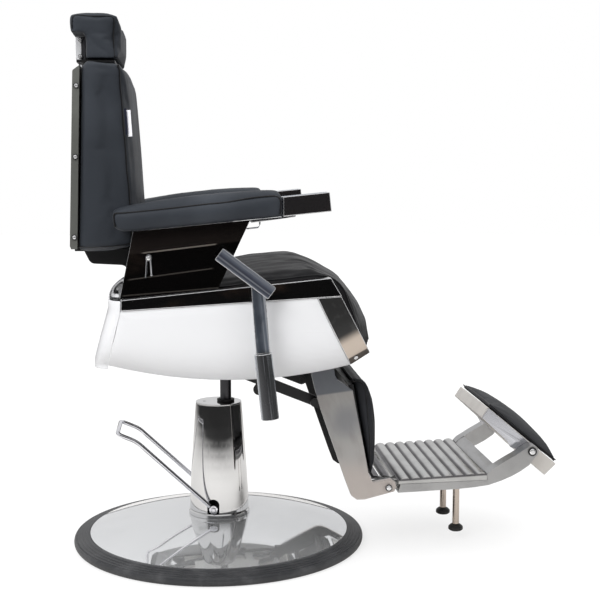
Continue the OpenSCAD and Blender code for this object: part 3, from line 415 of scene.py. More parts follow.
@dataclass(frozen=True)
class BarSteel(Brushed):
    """Flat bar of blued steel with lengthwise streaks, a painted shade along its middle and painted
    highlights on its long edges.
    """

    middle: Point = (0.0, 0.0)
    half: float = 0.0135
    # Tone of the lengthwise streaks and of the painted highlights on the edges.
    bright: Colour = (0.62, 0.65, 0.7)
    mottle: float = 0.0

    def paint(self, graph: Graph) -> dict:
        """Brushed metal whose colour changes across the bar, with painted shade and painted highlights."""
        sockets = super().paint(graph)
        x, _, z = graph.axes()
        turn = math.radians(self.turn)
        level = self.middle[0] * math.sin(turn) + self.middle[1] * math.cos(turn)
        across = x * math.sin(turn) + z * math.cos(turn) - level
        streaks = graph.streaks((2.5, 190.0, 190.0), 2.0, 0.5, turn=-self.turn)
        # Painted shade: darker along the bar's middle, in the stain colour.
        middle_shade = (across + self.half * 0.25).size().band(self.half * 0.75, self.half * 0.2)
        blots = graph.streaks((16.0, 55.0, 55.0), 3.0, turn=-self.turn).band(0.46, 0.6)
        # Painted highlight: brighter along the bar's long edges, blended in at the end.
        rim = across.size().band(self.half * 0.8, self.half * 0.95)
        colour = graph.blend(middle_shade * 0.7, sockets["Base Color"], self.stain_and_shade)
        colour = graph.blend(streaks.band(0.5, 0.66) * 0.55, colour, self.bright)
        colour = graph.blend(blots * self.mottle, colour, self.stain_and_shade)
        return {**sockets, "Base Color": graph.blend(rim * 0.8, colour, self.bright), "Metallic": 0.8}


@dataclass(frozen=True)
class LegMetal(Brushed):
    """Brushed leg cover: bluish over its bend from painted shade, with a cool cloud below it and warm
    towards its foot.
    """

    bend: tuple[float, float, float, float] = (0.2047, 0.3576, 0.2794, 0.367)
    cool: Colour = (0.15, 0.165, 0.19)
    cloud_at: Point = (0.266, 0.304)
    warm: Colour = (0.5, 0.45, 0.42)

    def paint(self, graph: Graph) -> dict:
        """Metal whose tone changes with the place on the leg."""
        sockets = super().paint(graph)
        x, _, z = graph.axes()
        over = above_line(x, z, self.bend)
        drift = graph.noise(16.0, 3.0) * 0.03
        far = (x - self.cloud_at[0]) ** 2.0 + (z - self.cloud_at[1]) ** 2.0
        cloud = (far**0.5 + drift).band(0.075, 0.02)
        low = (z + drift).band(0.25, 0.19)
        colour = graph.blend(cloud * 0.5, sockets["Base Color"], self.cool)
        colour = graph.blend(low * 0.8, colour, self.warm)
        # Painted shade: the face above the bend darker and bluish.
        colour = graph.blend(over.band(-0.002, 0.003) * 0.85, colour, self.cool)
        return {**sockets, "Base Color": colour, "Metallic": 0.72}


@dataclass(frozen=True)
class Vinyl(Finish):
    """Upholstery vinyl with a fine grain."""

    grain: float = 900.0
    grain_depth: float = 0.00006
    shine: float = 0.12

    def paint(self, graph: Graph) -> dict:
        """Satin hide with pores, creases and slightly worn places, whose lighter tone is partly painted
        sheen.
        """
        bend = graph.noise(40.0, 3.0)
        grain = graph.cells(self.grain).band(0.0, 0.35)
        creases = graph.streaks((90.0, 160.0, 160.0), 4.0, 0.6)
        worn = graph.noise(6.0, 3.0).band(0.4, 0.7)
        fine = graph.bump(grain, self.grain_depth, 0.6)
        return {
            # The lighter patches are partly wear and partly painted sheen.
            "Base Color": graph.blend(worn * 0.75, self.colour, toned(self.colour, 1.5, 0.004)),
            "Roughness": bend * 0.1 - worn * 0.05 + self.roughness,
            "Specular IOR Level": self.shine,
            "Normal": graph.bump(creases, 0.0005, 0.35, fine),
        }


@dataclass(frozen=True)
class Rubber(Finish):
    """Moulded rubber with dusty, scuffed places."""

    dust: Colour = (0.16, 0.16, 0.165)
    dust_share: float = 0.4

    def paint(self, graph: Graph) -> dict:
        """Matt dark rubber with dust in patches."""
        patches = graph.noise(14.0, 5.0, 0.65).band(0.42, 0.68)
        specks = graph.noise(700.0, 2.0)
        return {
            "Base Color": graph.blend(patches * self.dust_share, self.colour, self.dust),
            "Roughness": patches * 0.15 + self.roughness,
            "Normal": graph.bump(specks, 0.00015, 0.5),
        }


@dataclass(frozen=True)
class Gloss(Finish):
    """Smooth moulded or lacquered surface with a clear shine."""

    shade: Colour = (0.7, 0.7, 0.72)
    shade_share: float = 0.1
    coat: float = 0.6
    specular: float = 0.5

    def paint(self, graph: Graph) -> dict:
        """Even colour with a slow change of tone and a faint orange peel."""
        slow = graph.noise(3.0, 3.0).band(0.35, 0.7)
        peel = graph.noise(220.0, 2.0)
        return {
            "Base Color": graph.blend(slow * self.shade_share, self.colour, self.shade),
            "Roughness": peel * 0.05 + self.roughness,
            "Coat Weight": self.coat,
            "Coat Roughness": 0.05,
            "Specular IOR Level": self.specular,
            "Normal": graph.bump(peel, 0.00004, 0.4),
        }


@dataclass(frozen=True)
class Cast(Finish):
    """Cast metal with a sandy skin."""

    metallic: float = 1.0
    pits: float = 0.00012

    def paint(self, graph: Graph) -> dict:
        """Satin skin with pits and faint grey clouds."""
        sand = graph.noise(900.0, 3.0, 0.7)
        clouds = graph.noise(18.0, 4.0, 0.6).band(0.4, 0.7)
        return {
            "Base Color": graph.blend(clouds * 0.5, self.colour, toned(self.colour, 0.86)),
            "Metallic": self.metallic,
            "Roughness": clouds * 0.08 + self.roughness,
            "Normal": graph.bump(sand, self.pits, 0.5),
        }


@dataclass(frozen=True)
class UnderFrame(Cast):
    """Black painted frame whose plate and beams under the seat keep a pale primer."""

    primer: Colour = (0.55, 0.55, 0.54)
    reach: Triple = (0.158, 0.27, 0.545)
    border: float = 0.004
    rear: Point = (-0.1, -0.09)

    def paint(self, graph: Graph) -> dict:
        """The cast skin, pale inside the shell."""
        sockets = super().paint(graph)
        x, y, z = graph.axes()
        inside = x.band(*self.rear)
        for part, limit in zip((x, y.size(), z), self.reach):
            inside = inside * part.band(limit, limit - self.border)
        return {**sockets, "Base Color": graph.blend(inside, sockets["Base Color"], self.primer)}


@dataclass(frozen=True)
class RidgedCast(Cast):
    """Cast tread that is bright on its crests and dark in its grooves, where the shade is painted."""

    crest: Point = (0.5715, 0.184)
    slope: float = 0.045
    depth: float = 0.006
    # Tone of the painted shade in the grooves.
    groove: Colour = (0.09, 0.085, 0.095)
    bright: Colour = (0.85, 0.85, 0.85)

    def paint(self, graph: Graph) -> dict:
        """The cast skin, with painted shade that darkens it by the depth under the line of the crests."""
        sockets = super().paint(graph)
        x, _, z = graph.axes()
        below = (x - self.crest[0]) * self.slope + (self.crest[1] - z)
        sunk = below.band(self.depth * 0.4, self.depth * 0.95)
        # Painted shade deep in the grooves.
        groove_shade = sunk * below.band(self.depth * 1.7, self.depth * 1.2)
        worn = below.band(self.depth * 0.3, 0.0)
        colour = graph.blend(groove_shade * 0.9, sockets["Base Color"], self.groove)
        return {**sockets, "Base Color": graph.blend(worn * 0.4, colour, self.bright)}


@dataclass(frozen=True)
class Plywood(Finish):
    """Plain plywood with its grain along the seat."""

    def paint(self, graph: Graph) -> dict:
        """Wood in bands along X."""
        grain = graph.streaks((5.0, 60.0, 200.0), 5.0, 0.65)
        return {
            "Base Color": graph.blend(grain.band(0.35, 0.65), self.colour, toned(self.colour, 0.6)),
            "Normal": graph.bump(grain, 0.0002, 0.4),
        }


NEAR_BLACK = (0.012, 0.012, 0.013)
DISH_CHROME = Chrome("dish_chrome", (0.82, 0.83, 0.84), 0.04, 0.03, metallic=0.78)
COLUMN_CHROME = Chrome("column_chrome", (0.7, 0.7, 0.7), 0.04, 0.05)
PEDAL_CHROME = Chrome("pedal_chrome", (0.82, 0.82, 0.86), 0.08, 0.08)
CLAMP_CHROME = Chrome("clamp_chrome", (0.85, 0.86, 0.88), 0.14, 0.1, metallic=0.55)
# Its dark front share is a painted reflection.
CLAMP_PLATE = SplitChrome("clamp_plate", CLAMP_CHROME.colour, 0.14, 0.1, metallic=0.25)
FLIP_CHROME = Chrome("flip_bracket_chrome", (0.66, 0.67, 0.71), 0.14, 0.12, metallic=0.85)
SCREW_STEEL = Chrome("screw_steel", (0.85, 0.85, 0.86), 0.2, 0.1, metallic=0.75)
WASHER_BLACK = Rubber("washer_black", NEAR_BLACK, 0.4, dust_share=0.1)
FOOT_CHROME = Chrome("foot_leg_chrome", (0.52, 0.45, 0.39), 0.16, 0.1)
BASE_RUBBER = Rubber("base_rubber", (0.024, 0.025, 0.028), 0.42, dust_share=0.25)
SEAL_RUBBER = Rubber("seal_rubber", (0.015, 0.015, 0.016), 0.5, dust_share=0.15)
GLIDE_RUBBER = Rubber("glide_rubber", (0.01, 0.01, 0.01), 0.45, dust_share=0.1)
PUMP_IRON = Cast("pump_iron", (0.05, 0.05, 0.055), 0.5, metallic=0.3)
FRAME_PAINT = Cast("frame_paint", NEAR_BLACK, 0.42, metallic=0.0, pits=0.0001)
UNDER_FRAME = UnderFrame("under_frame", NEAR_BLACK, 0.42, metallic=0.0, pits=0.0001)
ROD_STEEL = Brushed("rod_steel", (0.09, 0.09, 0.095), 0.24, turn=90.0, stain_and_shade=(0.02, 0.02, 0.02))
AXLE_STEEL = Brushed("axle_steel", (0.5, 0.5, 0.52), 0.28)
SEAT_PLYWOOD = Plywood("seat_plywood", (0.55, 0.53, 0.5), 0.6)
SEAT_VINYL = Vinyl("seat_vinyl", NEAR_BLACK, 0.36, shine=0.15)
BACK_VINYL = Vinyl("back_vinyl", (0.03, 0.034, 0.041), 0.46)
CALF_VINYL = Vinyl("calf_vinyl", (0.018, 0.019, 0.022), 0.46)
FLIP_VINYL = Vinyl("flip_vinyl", (0.03, 0.031, 0.034), 0.5)
PIPING_VINYL = Vinyl("piping_vinyl", (0.008, 0.008, 0.009), 0.36, shine=0.4)
SHELL_WHITE = Gloss(
    "shell_white", (0.73, 0.735, 0.75), 0.36, shade=(0.68, 0.685, 0.705), coat=0.1, specular=0.3
)
TRIM_POLISH = DarkPolish("trim_polish", (0.02, 0.019, 0.02), 0.12)
# Its lines and the warmer tone over the first are painted reflections.
PLATE_POLISH = LinedPolish(
    "plate_polish", (0.009, 0.008, 0.008), 0.12,
    mark=(0.045, 0.032, 0.026),
    reflection_upper_tone=(0.022, 0.017, 0.015),
    lines=(
        (-0.1557, 0.6695, -0.0087, 0.6865),
        (-0.1841, 0.6171, -0.0157, 0.6389),
        (-0.197, 0.5855, -0.002, 0.6005),
    ),
)
ARM_BLACK = Gloss("arm_black", NEAR_BLACK, 0.16, shade=(0.03, 0.02, 0.017), shade_share=0.3)
# Painted highlight on the rounded edges and narrow rims of dark parts.
EDGE_HIGHLIGHT = Chrome("painted_edge_highlight", (0.72, 0.72, 0.73), 0.22, 0.1, metallic=0.75)
# Painted reflection: a lighter bluish tone on the arm brackets' rims.
TOP_REFLECTION = Brushed("painted_top_reflection", (0.36, 0.42, 0.5), 0.25)
STRIP_METAL = StripMetal("strip_metal", (0.055, 0.055, 0.055), 0.28)
WIRE_STEEL = Chrome("wire_steel", (0.62, 0.62, 0.64), 0.2, 0.1)
LEVER_STEEL = BarSteel(
    "lever_steel", (0.27, 0.3, 0.37), 0.26, turn=37.3, streak=0.16,
    stain_and_shade=(0.06, 0.065, 0.1), stain_share=0.5, middle=(0.008, 0.661),
)
LEVER_STEEL_LOW = BarSteel(
    "lever_steel_low", (0.22, 0.25, 0.3), 0.28, turn=83.9, streak=0.16,
    stain_and_shade=(0.08, 0.095, 0.12), stain_share=0.5, middle=(0.078, 0.477), mottle=0.7,
)
GRIP_STEEL = BarSteel(
    "grip_steel", (0.1, 0.105, 0.11), 0.2, turn=83.9, streak=0.06,
    stain_and_shade=(0.06, 0.06, 0.065), stain_share=0.3, middle=(0.078, 0.477),
)
BOARD_GREY = Vinyl("board_grey", (0.09, 0.092, 0.085), 0.5)
LEG_METAL = LegMetal(
    "leg_metal", (0.42, 0.41, 0.4), 0.3, turn=72.0, streak=0.12, stain_and_shade=(0.34, 0.32, 0.31), stain_share=0.6
)
FOOT_CAST = Cast("foot_cast", (0.52, 0.52, 0.52), 0.4)
TREAD_CAST = RidgedCast("tread_cast", (0.68, 0.68, 0.67), 0.4)
FLIP_PAINT = Cast("flip_paint", (0.6, 0.575, 0.545), 0.45, metallic=0.35)
TAG_WHITE = Gloss("tag_white", (0.85, 0.85, 0.9), 0.5, coat=0.0)
TAG_NAVY = Gloss("tag_navy", (0.012, 0.014, 0.03), 0.5, shade=(0.03, 0.035, 0.06), coat=0.0)


# ---- workbench ----


class Workbench:
    """Makes pieces from the frame's nodes and hands them to their bodies."""

    def __init__(self, frame: dict) -> None:
        """Reads which body and which slot each node has."""
        record = frame["record"]
        self.nodes: dict[str, bpy.types.Object] = frame["nodes"]
        self.body_of = {n: b for b, names in record["behaviour"]["bodies"].items() for n in names}
        self.slot_of = {row["node"]: row["material_slot"] for row in record["subparts"]}

    def dress(self, node: str, finish: Finish) -> None:
        """Gives a node that keeps its own mesh its finish."""
        materials = self.nodes[node].data.materials
        materials.clear()
        materials.append(finish.material())
        LOG.info("dressed %s in %s", node, finish.name)

    def copy_of(self, node: str) -> bmesh.types.BMesh:
        """Merged copy of a node's mesh, with flat faces whole again."""
        shape = bmesh.new()
        shape.from_mesh(self.nodes[node].data)
        bmesh.ops.remove_doubles(shape, verts=shape.verts, dist=2 * MERGE)
        bmesh.ops.dissolve_degenerate(shape, edges=shape.edges, dist=MERGE)
        bmesh.ops.dissolve_limit(
            shape,
            angle_limit=math.radians(FLAT_ANGLE),
            verts=shape.verts,
            edges=shape.edges,
            use_dissolve_boundaries=False,
        )
        return shape

    def piece(
        self,
        name: str,
        shape: bmesh.types.BMesh,
        finish: Finish,
        node: str,
        replaces: bool = True,
        smooth_angle: float = 40.0,
    ) -> bpy.types.Object:
        """Turns a shape into a piece that rides on the body of a node.

        Args:
            name: the piece's name.
            shape: its mesh, which is freed.
            finish: what it is dressed in.
            node: the node that it belongs to.
            replaces: whether it stands for that node.
            smooth_angle: edges sharper than this many degrees stay sharp.

        Returns:
            The piece.
        """
        mesh = bpy.data.meshes.new(name)
        for face in shape.faces:
            face.smooth = True
        shape.to_mesh(mesh)
        shape.free()
        mesh.set_sharp_from_angle(angle=math.radians(smooth_angle))
        mesh.materials.append(finish.material())
        made = bpy.data.objects.new(name, mesh)
        bpy.context.scene.collection.objects.link(made)
        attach(made, self.body_of[node])
        if replaces:
            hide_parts(node)
        LOG.info("made %s, %d faces", name, len(mesh.polygons))
        return made

    def refine(
        self,
        node: str,
        finish: Finish,
        bevel: float = 0.0008,
        segments: int = 2,
        angle: float = 35.0,
        edge: Finish | None = None,
        rims: Finish | None = None,
    ) -> None:
        """Replaces a hard node by a copy of itself whose edges are rounded.

        Args:
            node: the node's name.
            finish: what the copy is dressed in.
            bevel: width of the rounded edges in metres.
            segments: steps round each edge.
            angle: edges sharper than this many degrees are rounded.
            edge: finish of the rounded edges, if it differs.
            rims: finish of the faces that don't face right or left, if it differs.
        """
        made = self.piece(f"{node}_finished", self.copy_of(node), finish, node)
        rounding = round_edges(made, bevel, segments, angle)
        if edge:
            made.data.materials.append(edge.material())
            rounding.material = 1
        if rims:
            made.data.materials.append(rims.material())
            for face in made.data.polygons:
                if abs(face.normal.y) < SIDE_SHARE:
                    face.material_index = len(made.data.materials) - 1


def round_edges(piece: bpy.types.Object, width: float, segments: int, angle: float) -> bpy.types.Modifier:
    """Adds a Bevel modifier that leaves flat faces flat, and returns it."""
    bevel = piece.modifiers.new("rounded_edges", "BEVEL")
    bevel.width = width
    bevel.segments = segments
    bevel.limit_method = "ANGLE"
    bevel.angle_limit = math.radians(angle)
    bevel.harden_normals = True
    bevel.use_clamp_overlap = True
    return bevel


def joined(parts: Iterable[bmesh.types.BMesh]) -> bmesh.types.BMesh:
    """All parts as one shape. The parts are freed."""
    whole = bmesh.new()
    for part in parts:
        mesh = bpy.data.meshes.new("part")
        part.to_mesh(mesh)
        part.free()
        whole.from_mesh(mesh)
        bpy.data.meshes.remove(mesh)
    return whole


def lathe(profile: Sequence[Point], steps: int) -> bmesh.types.BMesh:
    """Spins a profile about the Z axis.

    Args:
        profile: points as (radius, height); the last one joins the first.
        steps: divisions of the full turn.

    Returns:
        The closed shape.
    """
    shape = bmesh.new()
    ring = [shape.verts.new((r, 0.0, z)) for r, z in profile]
    edges = [shape.edges.new((a, b)) for a, b in zip(ring, ring[1:] + ring[:1])]
    bmesh.ops.spin(
        shape,
        geom=ring + edges,
        cent=(0.0, 0.0, 0.0),
        axis=UP,
        angle=math.tau,
        steps=steps,
        use_merge=True,
    )
    bmesh.ops.remove_doubles(shape, verts=shape.verts, dist=MERGE)
    bmesh.ops.recalc_face_normals(shape, faces=shape.faces)
    return shape


def smooth_curve(points: Sequence[Vector], step: float, closed: bool = False) -> list[Vector]:
    """Catmull-Rom curve through points, sampled about every step metres."""
    count = len(points)

    def at(i: int) -> Vector:
        """Point i, counted round a ring or held at the ends of an open curve."""
        return points[i % count] if closed else points[min(max(i, 0), count - 1)]

    found: list[Vector] = []
    for i in range(count if closed else count - 1):
        a, b, c, d = at(i - 1), at(i), at(i + 1), at(i + 2)
        parts = max(1, round((c - b).length / step))
        for k in range(parts):
            t = k / parts
            bend, twist = 2 * a - 5 * b + 4 * c - d, 3 * b - a - 3 * c + d
            found.append(0.5 * (2 * b + (c - a) * t + bend * t * t + twist * t**3))
    if not closed:
        found.append(points[-1].copy())
    return found


def tube(path: Sequence[Vector], radius: float, closed: bool, sides: int = 2) -> bmesh.types.BMesh:
    """Round rod along a path, closed at its ends.

    Args:
        path: its centre line.
        radius: its radius.
        closed: whether it is a ring.
        sides: bevel resolution; a ring of the rod has 2 * sides + 4 points.

    Returns:
        The rod's mesh.
    """
    curve = bpy.data.curves.new("rod", "CURVE")
    curve.dimensions = "3D"
    curve.bevel_depth = radius
    curve.bevel_resolution = sides
    curve.use_fill_caps = not closed
    spline = curve.splines.new("POLY")
    spline.points.add(len(path) - 1)
    for point, place in zip(spline.points, path):
        point.co = (*place, 1.0)
    spline.use_cyclic_u = closed
    holder = bpy.data.objects.new("rod", curve)
    mesh = bpy.data.meshes.new_from_object(holder)
    shape = bmesh.new()
    shape.from_mesh(mesh)
    bmesh.ops.remove_doubles(shape, verts=shape.verts, dist=MERGE)
    bmesh.ops.recalc_face_normals(shape, faces=shape.faces)
    bpy.data.objects.remove(holder)
    bpy.data.meshes.remove(mesh)
    bpy.data.curves.remove(curve)
    return shape


@dataclass
class Screws:
    """Domed heads with a round recess, each on a dark washer, on both sides of the chair.

    Fields:
        name: what the pieces' names begin with.
        node: the node that they belong to.
        places: their centres as pairs of X and Z.
        side_y: distance of their seat from the middle plane.
        radius: radius of the heads.
        height: height of the heads.
        washer: the washers' radius over the heads'.
    """

    name: str
    node: str
    places: Sequence[Point]
    side_y: float
    radius: float = 0.004
    height: float = 0.0018
    washer: float = 1.35
    steps: int = 24

    def build(self, bench: Workbench) -> None:
        """Adds the heads and the washers on both sides."""
        r, h = self.radius, self.height
        dome = [(r, 0.0), (r * 0.97, h * 0.45), (r * 0.75, h * 0.9), (r * 0.45, h)]
        head = [(0.0, 0.0), *dome, (r * 0.36, h * 0.4), (0.0, h * 0.4)]
        disc = [(r * 0.9, 0.0), (r * self.washer, 0.0), (r * self.washer, h * 0.3), (r * 0.9, h * 0.3)]
        self._set(bench, f"{self.name}_heads", head, SCREW_STEEL)
        self._set(bench, f"{self.name}_washers", disc, WASHER_BLACK)

    def _set(self, bench: Workbench, name: str, profile: Sequence[Point], finish: Finish) -> None:
        """Spins one profile and sets it at every place."""
        parts = []
        for side, _ in BOTH_SIDES:
            turn = Matrix.Rotation(math.radians(90 * -side), 4, "X")
            for x, z in self.places:
                part = lathe(profile, self.steps)
                seat = Matrix.Translation((x, side * self.side_y, z))
                bmesh.ops.transform(part, matrix=seat @ turn, verts=part.verts)
                parts.append(part)
        bench.piece(name, joined(parts), finish, self.node, replaces=False)


# ---- upholstery ----


# Metres between the points of a seam.
SEAM_STEP = 0.003
# A face is stapled if its normal has more than this of the way to the board.
STAPLED = 0.5
# How many frames the cover swells, and its cloth settings.
CLOTH_FRAMES = 20
CLOTH = {
    "quality": 4,
    "mass": 0.25,
    "tension_stiffness": 20.0,
    "compression_stiffness": 20.0,
    "shear_stiffness": 8.0,
    "bending_stiffness": 0.6,
    "use_pressure": True,
}


@dataclass
class Seam:
    """A line that is pressed into a cover, with or without piping in it.

    Fields:
        points: places near the cover's surface.
        closed: whether it is a ring.
        piping: radius of the piping, or 0 for a plain seam.
        depth: how far the cover is pressed in.
        width: half width of the pressed line.
    """

    points: list[Vector]
    closed: bool = False
    piping: float = 0.0018
    depth: float = 0.0026
    width: float = 0.0055

    def curve(self) -> list[Vector]:
        """The seam as a fine row of points."""
        return smooth_curve(self.points, SEAM_STEP, self.closed)

    def mirrored(self) -> "Seam":
        """The same seam on the other side of the chair."""
        return replace(self, points=[Vector((p.x, -p.y, p.z)) for p in self.points])


@dataclass
class Upholstery:
    """A padded piece: a node's form, swollen by cloth simulation, with its seams pressed in.

    Fields:
        node: the CAD form that it replaces.
        finish: its covering.
        flat_on: unit vector from the pad towards the board that it is stapled to.
        seams: the lines that are pressed in.
        voxel: size of the simulated mesh's faces.
        crease: function of a place and a normal that gives a wrinkle's height.
        swell: the most that a point may move.
        slack: inward step before the simulation.
        pressure: pressure inside the cover.
        fill: how tight it is filled, from 0 to 1.
        evening: how often a seam's shifts onto the surface are evened out.
    """

    node: str
    finish: Finish
    flat_on: Vector
    seams: list[Seam]
    voxel: float
    crease: Callable[[Vector, Vector], float]
    swell: float = 0.005
    slack: float = 0.0025
    pressure: float = 4.0
    fill: float = 0.75
    evening: int = 60

    def build(self, bench: Workbench) -> None:
        """Makes the pad and its piping on the workbench that holds its node."""
        form = bench.copy_of(self.node)
        pad = bench.piece(f"{self.node}_upholstered", form, self.finish, self.node, smooth_angle=180.0)
        self._remesh(pad)
        self._inflate(pad)
        self._sew(pad)
        self._pipe(bench, pad)
        rounding = pad.modifiers.new("soft_surface", "SUBSURF")
        rounding.levels = rounding.render_levels = 1

    def _remesh(self, pad: bpy.types.Object) -> None:
        """Gives the pad even faces, slightly inside the form."""
        remesh = pad.modifiers.new("even_faces", "REMESH")
        remesh.mode = "VOXEL"
        remesh.voxel_size = self.voxel
        remesh.use_smooth_shade = True
        self._apply(pad)
        for vertex in pad.data.vertices:
            vertex.co -= vertex.normal * self.slack
        smoothing = pad.modifiers.new("settle", "SMOOTH")
        smoothing.factor = 0.5
        smoothing.iterations = 3
        self._apply(pad)

    @staticmethod
    def _apply(pad: bpy.types.Object) -> None:
        """Bakes the pad's modifiers into its mesh."""
        graph = bpy.context.evaluated_depsgraph_get()
        materials = list(pad.data.materials)
        baked = bpy.data.meshes.new_from_object(pad.evaluated_get(graph))
        pad.modifiers.clear()
        old, pad.data = pad.data, baked
        bpy.data.meshes.remove(old)
        pad.data.name = pad.name
        pad.data.materials.clear()
        for material in materials:
            pad.data.materials.append(material)

    def _inflate(self, pad: bpy.types.Object) -> None:
        """Swells the cover by cloth simulation and caps how far a point moves."""
        rest = [v.co.copy() for v in pad.data.vertices]
        held = pad.vertex_groups.new(name="stapled")
        stapled = [v.index for v in pad.data.vertices if v.normal.dot(self.flat_on) > STAPLED]
        held.add(stapled, 1.0, "REPLACE")
        cloth = pad.modifiers.new("cover", "CLOTH")
        settings = cloth.settings
        for name, value in CLOTH.items():
            setattr(settings, name, value)
        settings.uniform_pressure_force = self.pressure
        settings.vertex_group_mass = held.name
        settings.effector_weights.gravity = 0.0
        cloth.collision_settings.use_collision = False
        cloth.point_cache.frame_start = 1
        cloth.point_cache.frame_end = CLOTH_FRAMES
        scene = bpy.context.scene
        for frame_number in range(1, CLOTH_FRAMES + 1):
            scene.frame_set(frame_number)
        self._apply(pad)
        scene.frame_set(1)
        for vertex, start in zip(pad.data.vertices, rest):
            move = vertex.co - start
            if move.length > self.swell:
                vertex.co = start + move.normalized() * self.swell
        pad.vertex_groups.clear()

    def _sew(self, pad: bpy.types.Object) -> None:
        """Lays the cover's wrinkles and presses it in along its seams."""
        mesh = pad.data
        normals = [v.normal.copy() for v in mesh.vertices]
        for vertex, normal in zip(mesh.vertices, normals):
            vertex.co += normal * self.crease(vertex.co, normal)
        presses = [0.0] * len(normals)
        for seam, curve in zip(self.seams, self._snapped(pad)):
            tree = kdtree.KDTree(len(curve))
            for i, point in enumerate(curve):
                tree.insert(point, i)
            tree.balance()
            for i, vertex in enumerate(mesh.vertices):
                distance = tree.find(vertex.co)[2]
                if distance < seam.width * 3:
                    presses[i] = max(presses[i], seam.depth * math.exp(-((distance / seam.width) ** 2)))
        for vertex, normal, press in zip(mesh.vertices, normals, presses):
            vertex.co -= normal * press
        mesh.update()

    def _snapped(self, pad: bpy.types.Object) -> list[list[Vector]]:
        """The seams moved onto the pad's surface, with their moves evened out along each seam."""
        mesh = pad.data
        surface = BVHTree.FromPolygons([v.co for v in mesh.vertices], [p.vertices for p in mesh.polygons])
        rows = []
        for seam in self.seams:
            curve = seam.curve()
            moves = [surface.find_nearest(p)[0] - p for p in curve]
            for _ in range(self.evening):
                first, last = (moves[-1], moves[0]) if seam.closed else (moves[0], moves[-1])
                before, after = [first] + moves[:-1], moves[1:] + [last]
                moves = [move * 0.4 + (a + b) * 0.3 for move, a, b in zip(moves, before, after)]
            rows.append([p + move for p, move in zip(curve, moves)])
        return rows

    def _pipe(self, bench: Workbench, pad: bpy.types.Object) -> None:
        """Lays a thin piping in every seam that has one."""
        seams = [(s, curve) for s, curve in zip(self.seams, self._snapped(pad)) if s.piping]
        rods = joined(tube(curve, seam.piping, seam.closed) for seam, curve in seams)
        name = f"{self.node}_piping"
        bench.piece(name, rods, PIPING_VINYL, self.node, replaces=False, smooth_angle=180.0)


# ---- the chair ----


# X and Z of the flip-over footrest's hinge.
FLIP_HINGE = (0.6745, 0.2255)


@dataclass
class PumpBase:
    """Round base, column and pump.

    Fields:
        steps: divisions of the full turn.
        dish_rings: rings of faces between the column and the rim.
        wall: thickness of the dish.
        hole_margin: how far the dish reaches under the column's ring.
        fall: exponent of the dish's slope.
        rubber_rows: moulded steps of the rubber.
        row_drop: height of each step.
        row_run: distance between the steps, as a share of the ring's width.
        belly: radius of the rubber's outer edge.
        belly_steps: divisions of that edge.
        ledge: height that the dish's rim rests at.
    """

    steps: int = 192
    dish_rings: int = 26
    wall: float = 0.003
    hole_margin: float = 0.009
    fall: float = 1.9
    rubber_rows: int = 4
    row_drop: float = 0.0022
    row_run: float = 0.19
    belly: float = 0.012
    belly_steps: int = 12
    ledge: float = 0.0245

    def build(self, bench: Workbench) -> None:
        """Makes the base's pieces."""
        self._dish(bench)
        self._ring(bench)
        bench.dress("base_ballast", PUMP_IRON)
        bench.dress("pump_body", PUMP_IRON)
        bench.refine("column_ring", COLUMN_CHROME, 0.0006, 2, 30.0)
        bench.refine("column_cover", COLUMN_CHROME, 0.0004, 1, 60.0)
        bench.refine("column_cap", COLUMN_CHROME, 0.0008, 2, 50.0)
        bench.refine("rod_seal", SEAL_RUBBER, 0.0012, 2, 50.0)
        bench.refine("piston_rod", ROD_STEEL, 0.0008, 2, 50.0)

    def _dish(self, bench: Workbench) -> None:
        """Mirror dish with a rolled rim."""
        low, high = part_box("base_dish")
        hub_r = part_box("column_ring")[1].x
        hole_r = hub_r - self.hole_margin
        top, rim = high.z, low.z + self.wall
        shares = [i / self.dish_rings for i in range(self.dish_rings + 1)]
        outer = [(hub_r + (high.x - hub_r) * t, rim + (top - rim) * (1 - t**self.fall)) for t in shares]
        inner = [(r, z - self.wall) for r, z in reversed(outer)]
        profile = [(hole_r, top), *outer, *inner, (hole_r, top - self.wall)]
        bench.piece("base_dish_polished", lathe(profile, self.steps), DISH_CHROME, "base_dish")

    def _ring(self, bench: Workbench) -> None:
        """Rubber ring with moulded steps."""
        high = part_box("base_ring")[1]
        outer_r, inner_r, top = high.x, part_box("base_dish")[1].x, high.z
        lip = inner_r + 0.0004
        width = outer_r - lip
        profile = [(lip, self.ledge), (lip, top - 0.0015), (lip + 0.002, top - 0.0003)]
        for i in range(self.rubber_rows):
            start = lip + 0.003 + i * width * self.row_run
            level = top - 0.0004 - self.row_drop * i
            edge = (start + width * 0.17, level - self.row_drop)
            profile += [(start + 0.0012, level), (start + width * 0.15, level - 0.0008), edge]
        r = self.belly
        for i in range(self.belly_steps + 1):
            angle = math.radians(42 - 117 * i / self.belly_steps)
            profile.append((outer_r - r + r * math.cos(angle), r + r * math.sin(angle)))
        profile += [(outer_r - 0.02, 0.0), (inner_r - 0.006, 0.0), (inner_r - 0.006, self.ledge)]
        ring = lathe(profile, self.steps)
        bench.piece("base_ring_moulded", ring, BASE_RUBBER, "base_ring", smooth_angle=50.0)


@dataclass
class Pedal:
    """Bent pump pedal."""

    def build(self, bench: Workbench) -> None:
        """Makes the pedal's pieces."""
        bench.dress("pedal_axle", AXLE_STEEL)
        bench.refine("pedal_hubs", PEDAL_CHROME, 0.001, 3, 50.0)
        bench.refine("pedal_rod", PEDAL_CHROME, 0.0005, 1, 80.0)


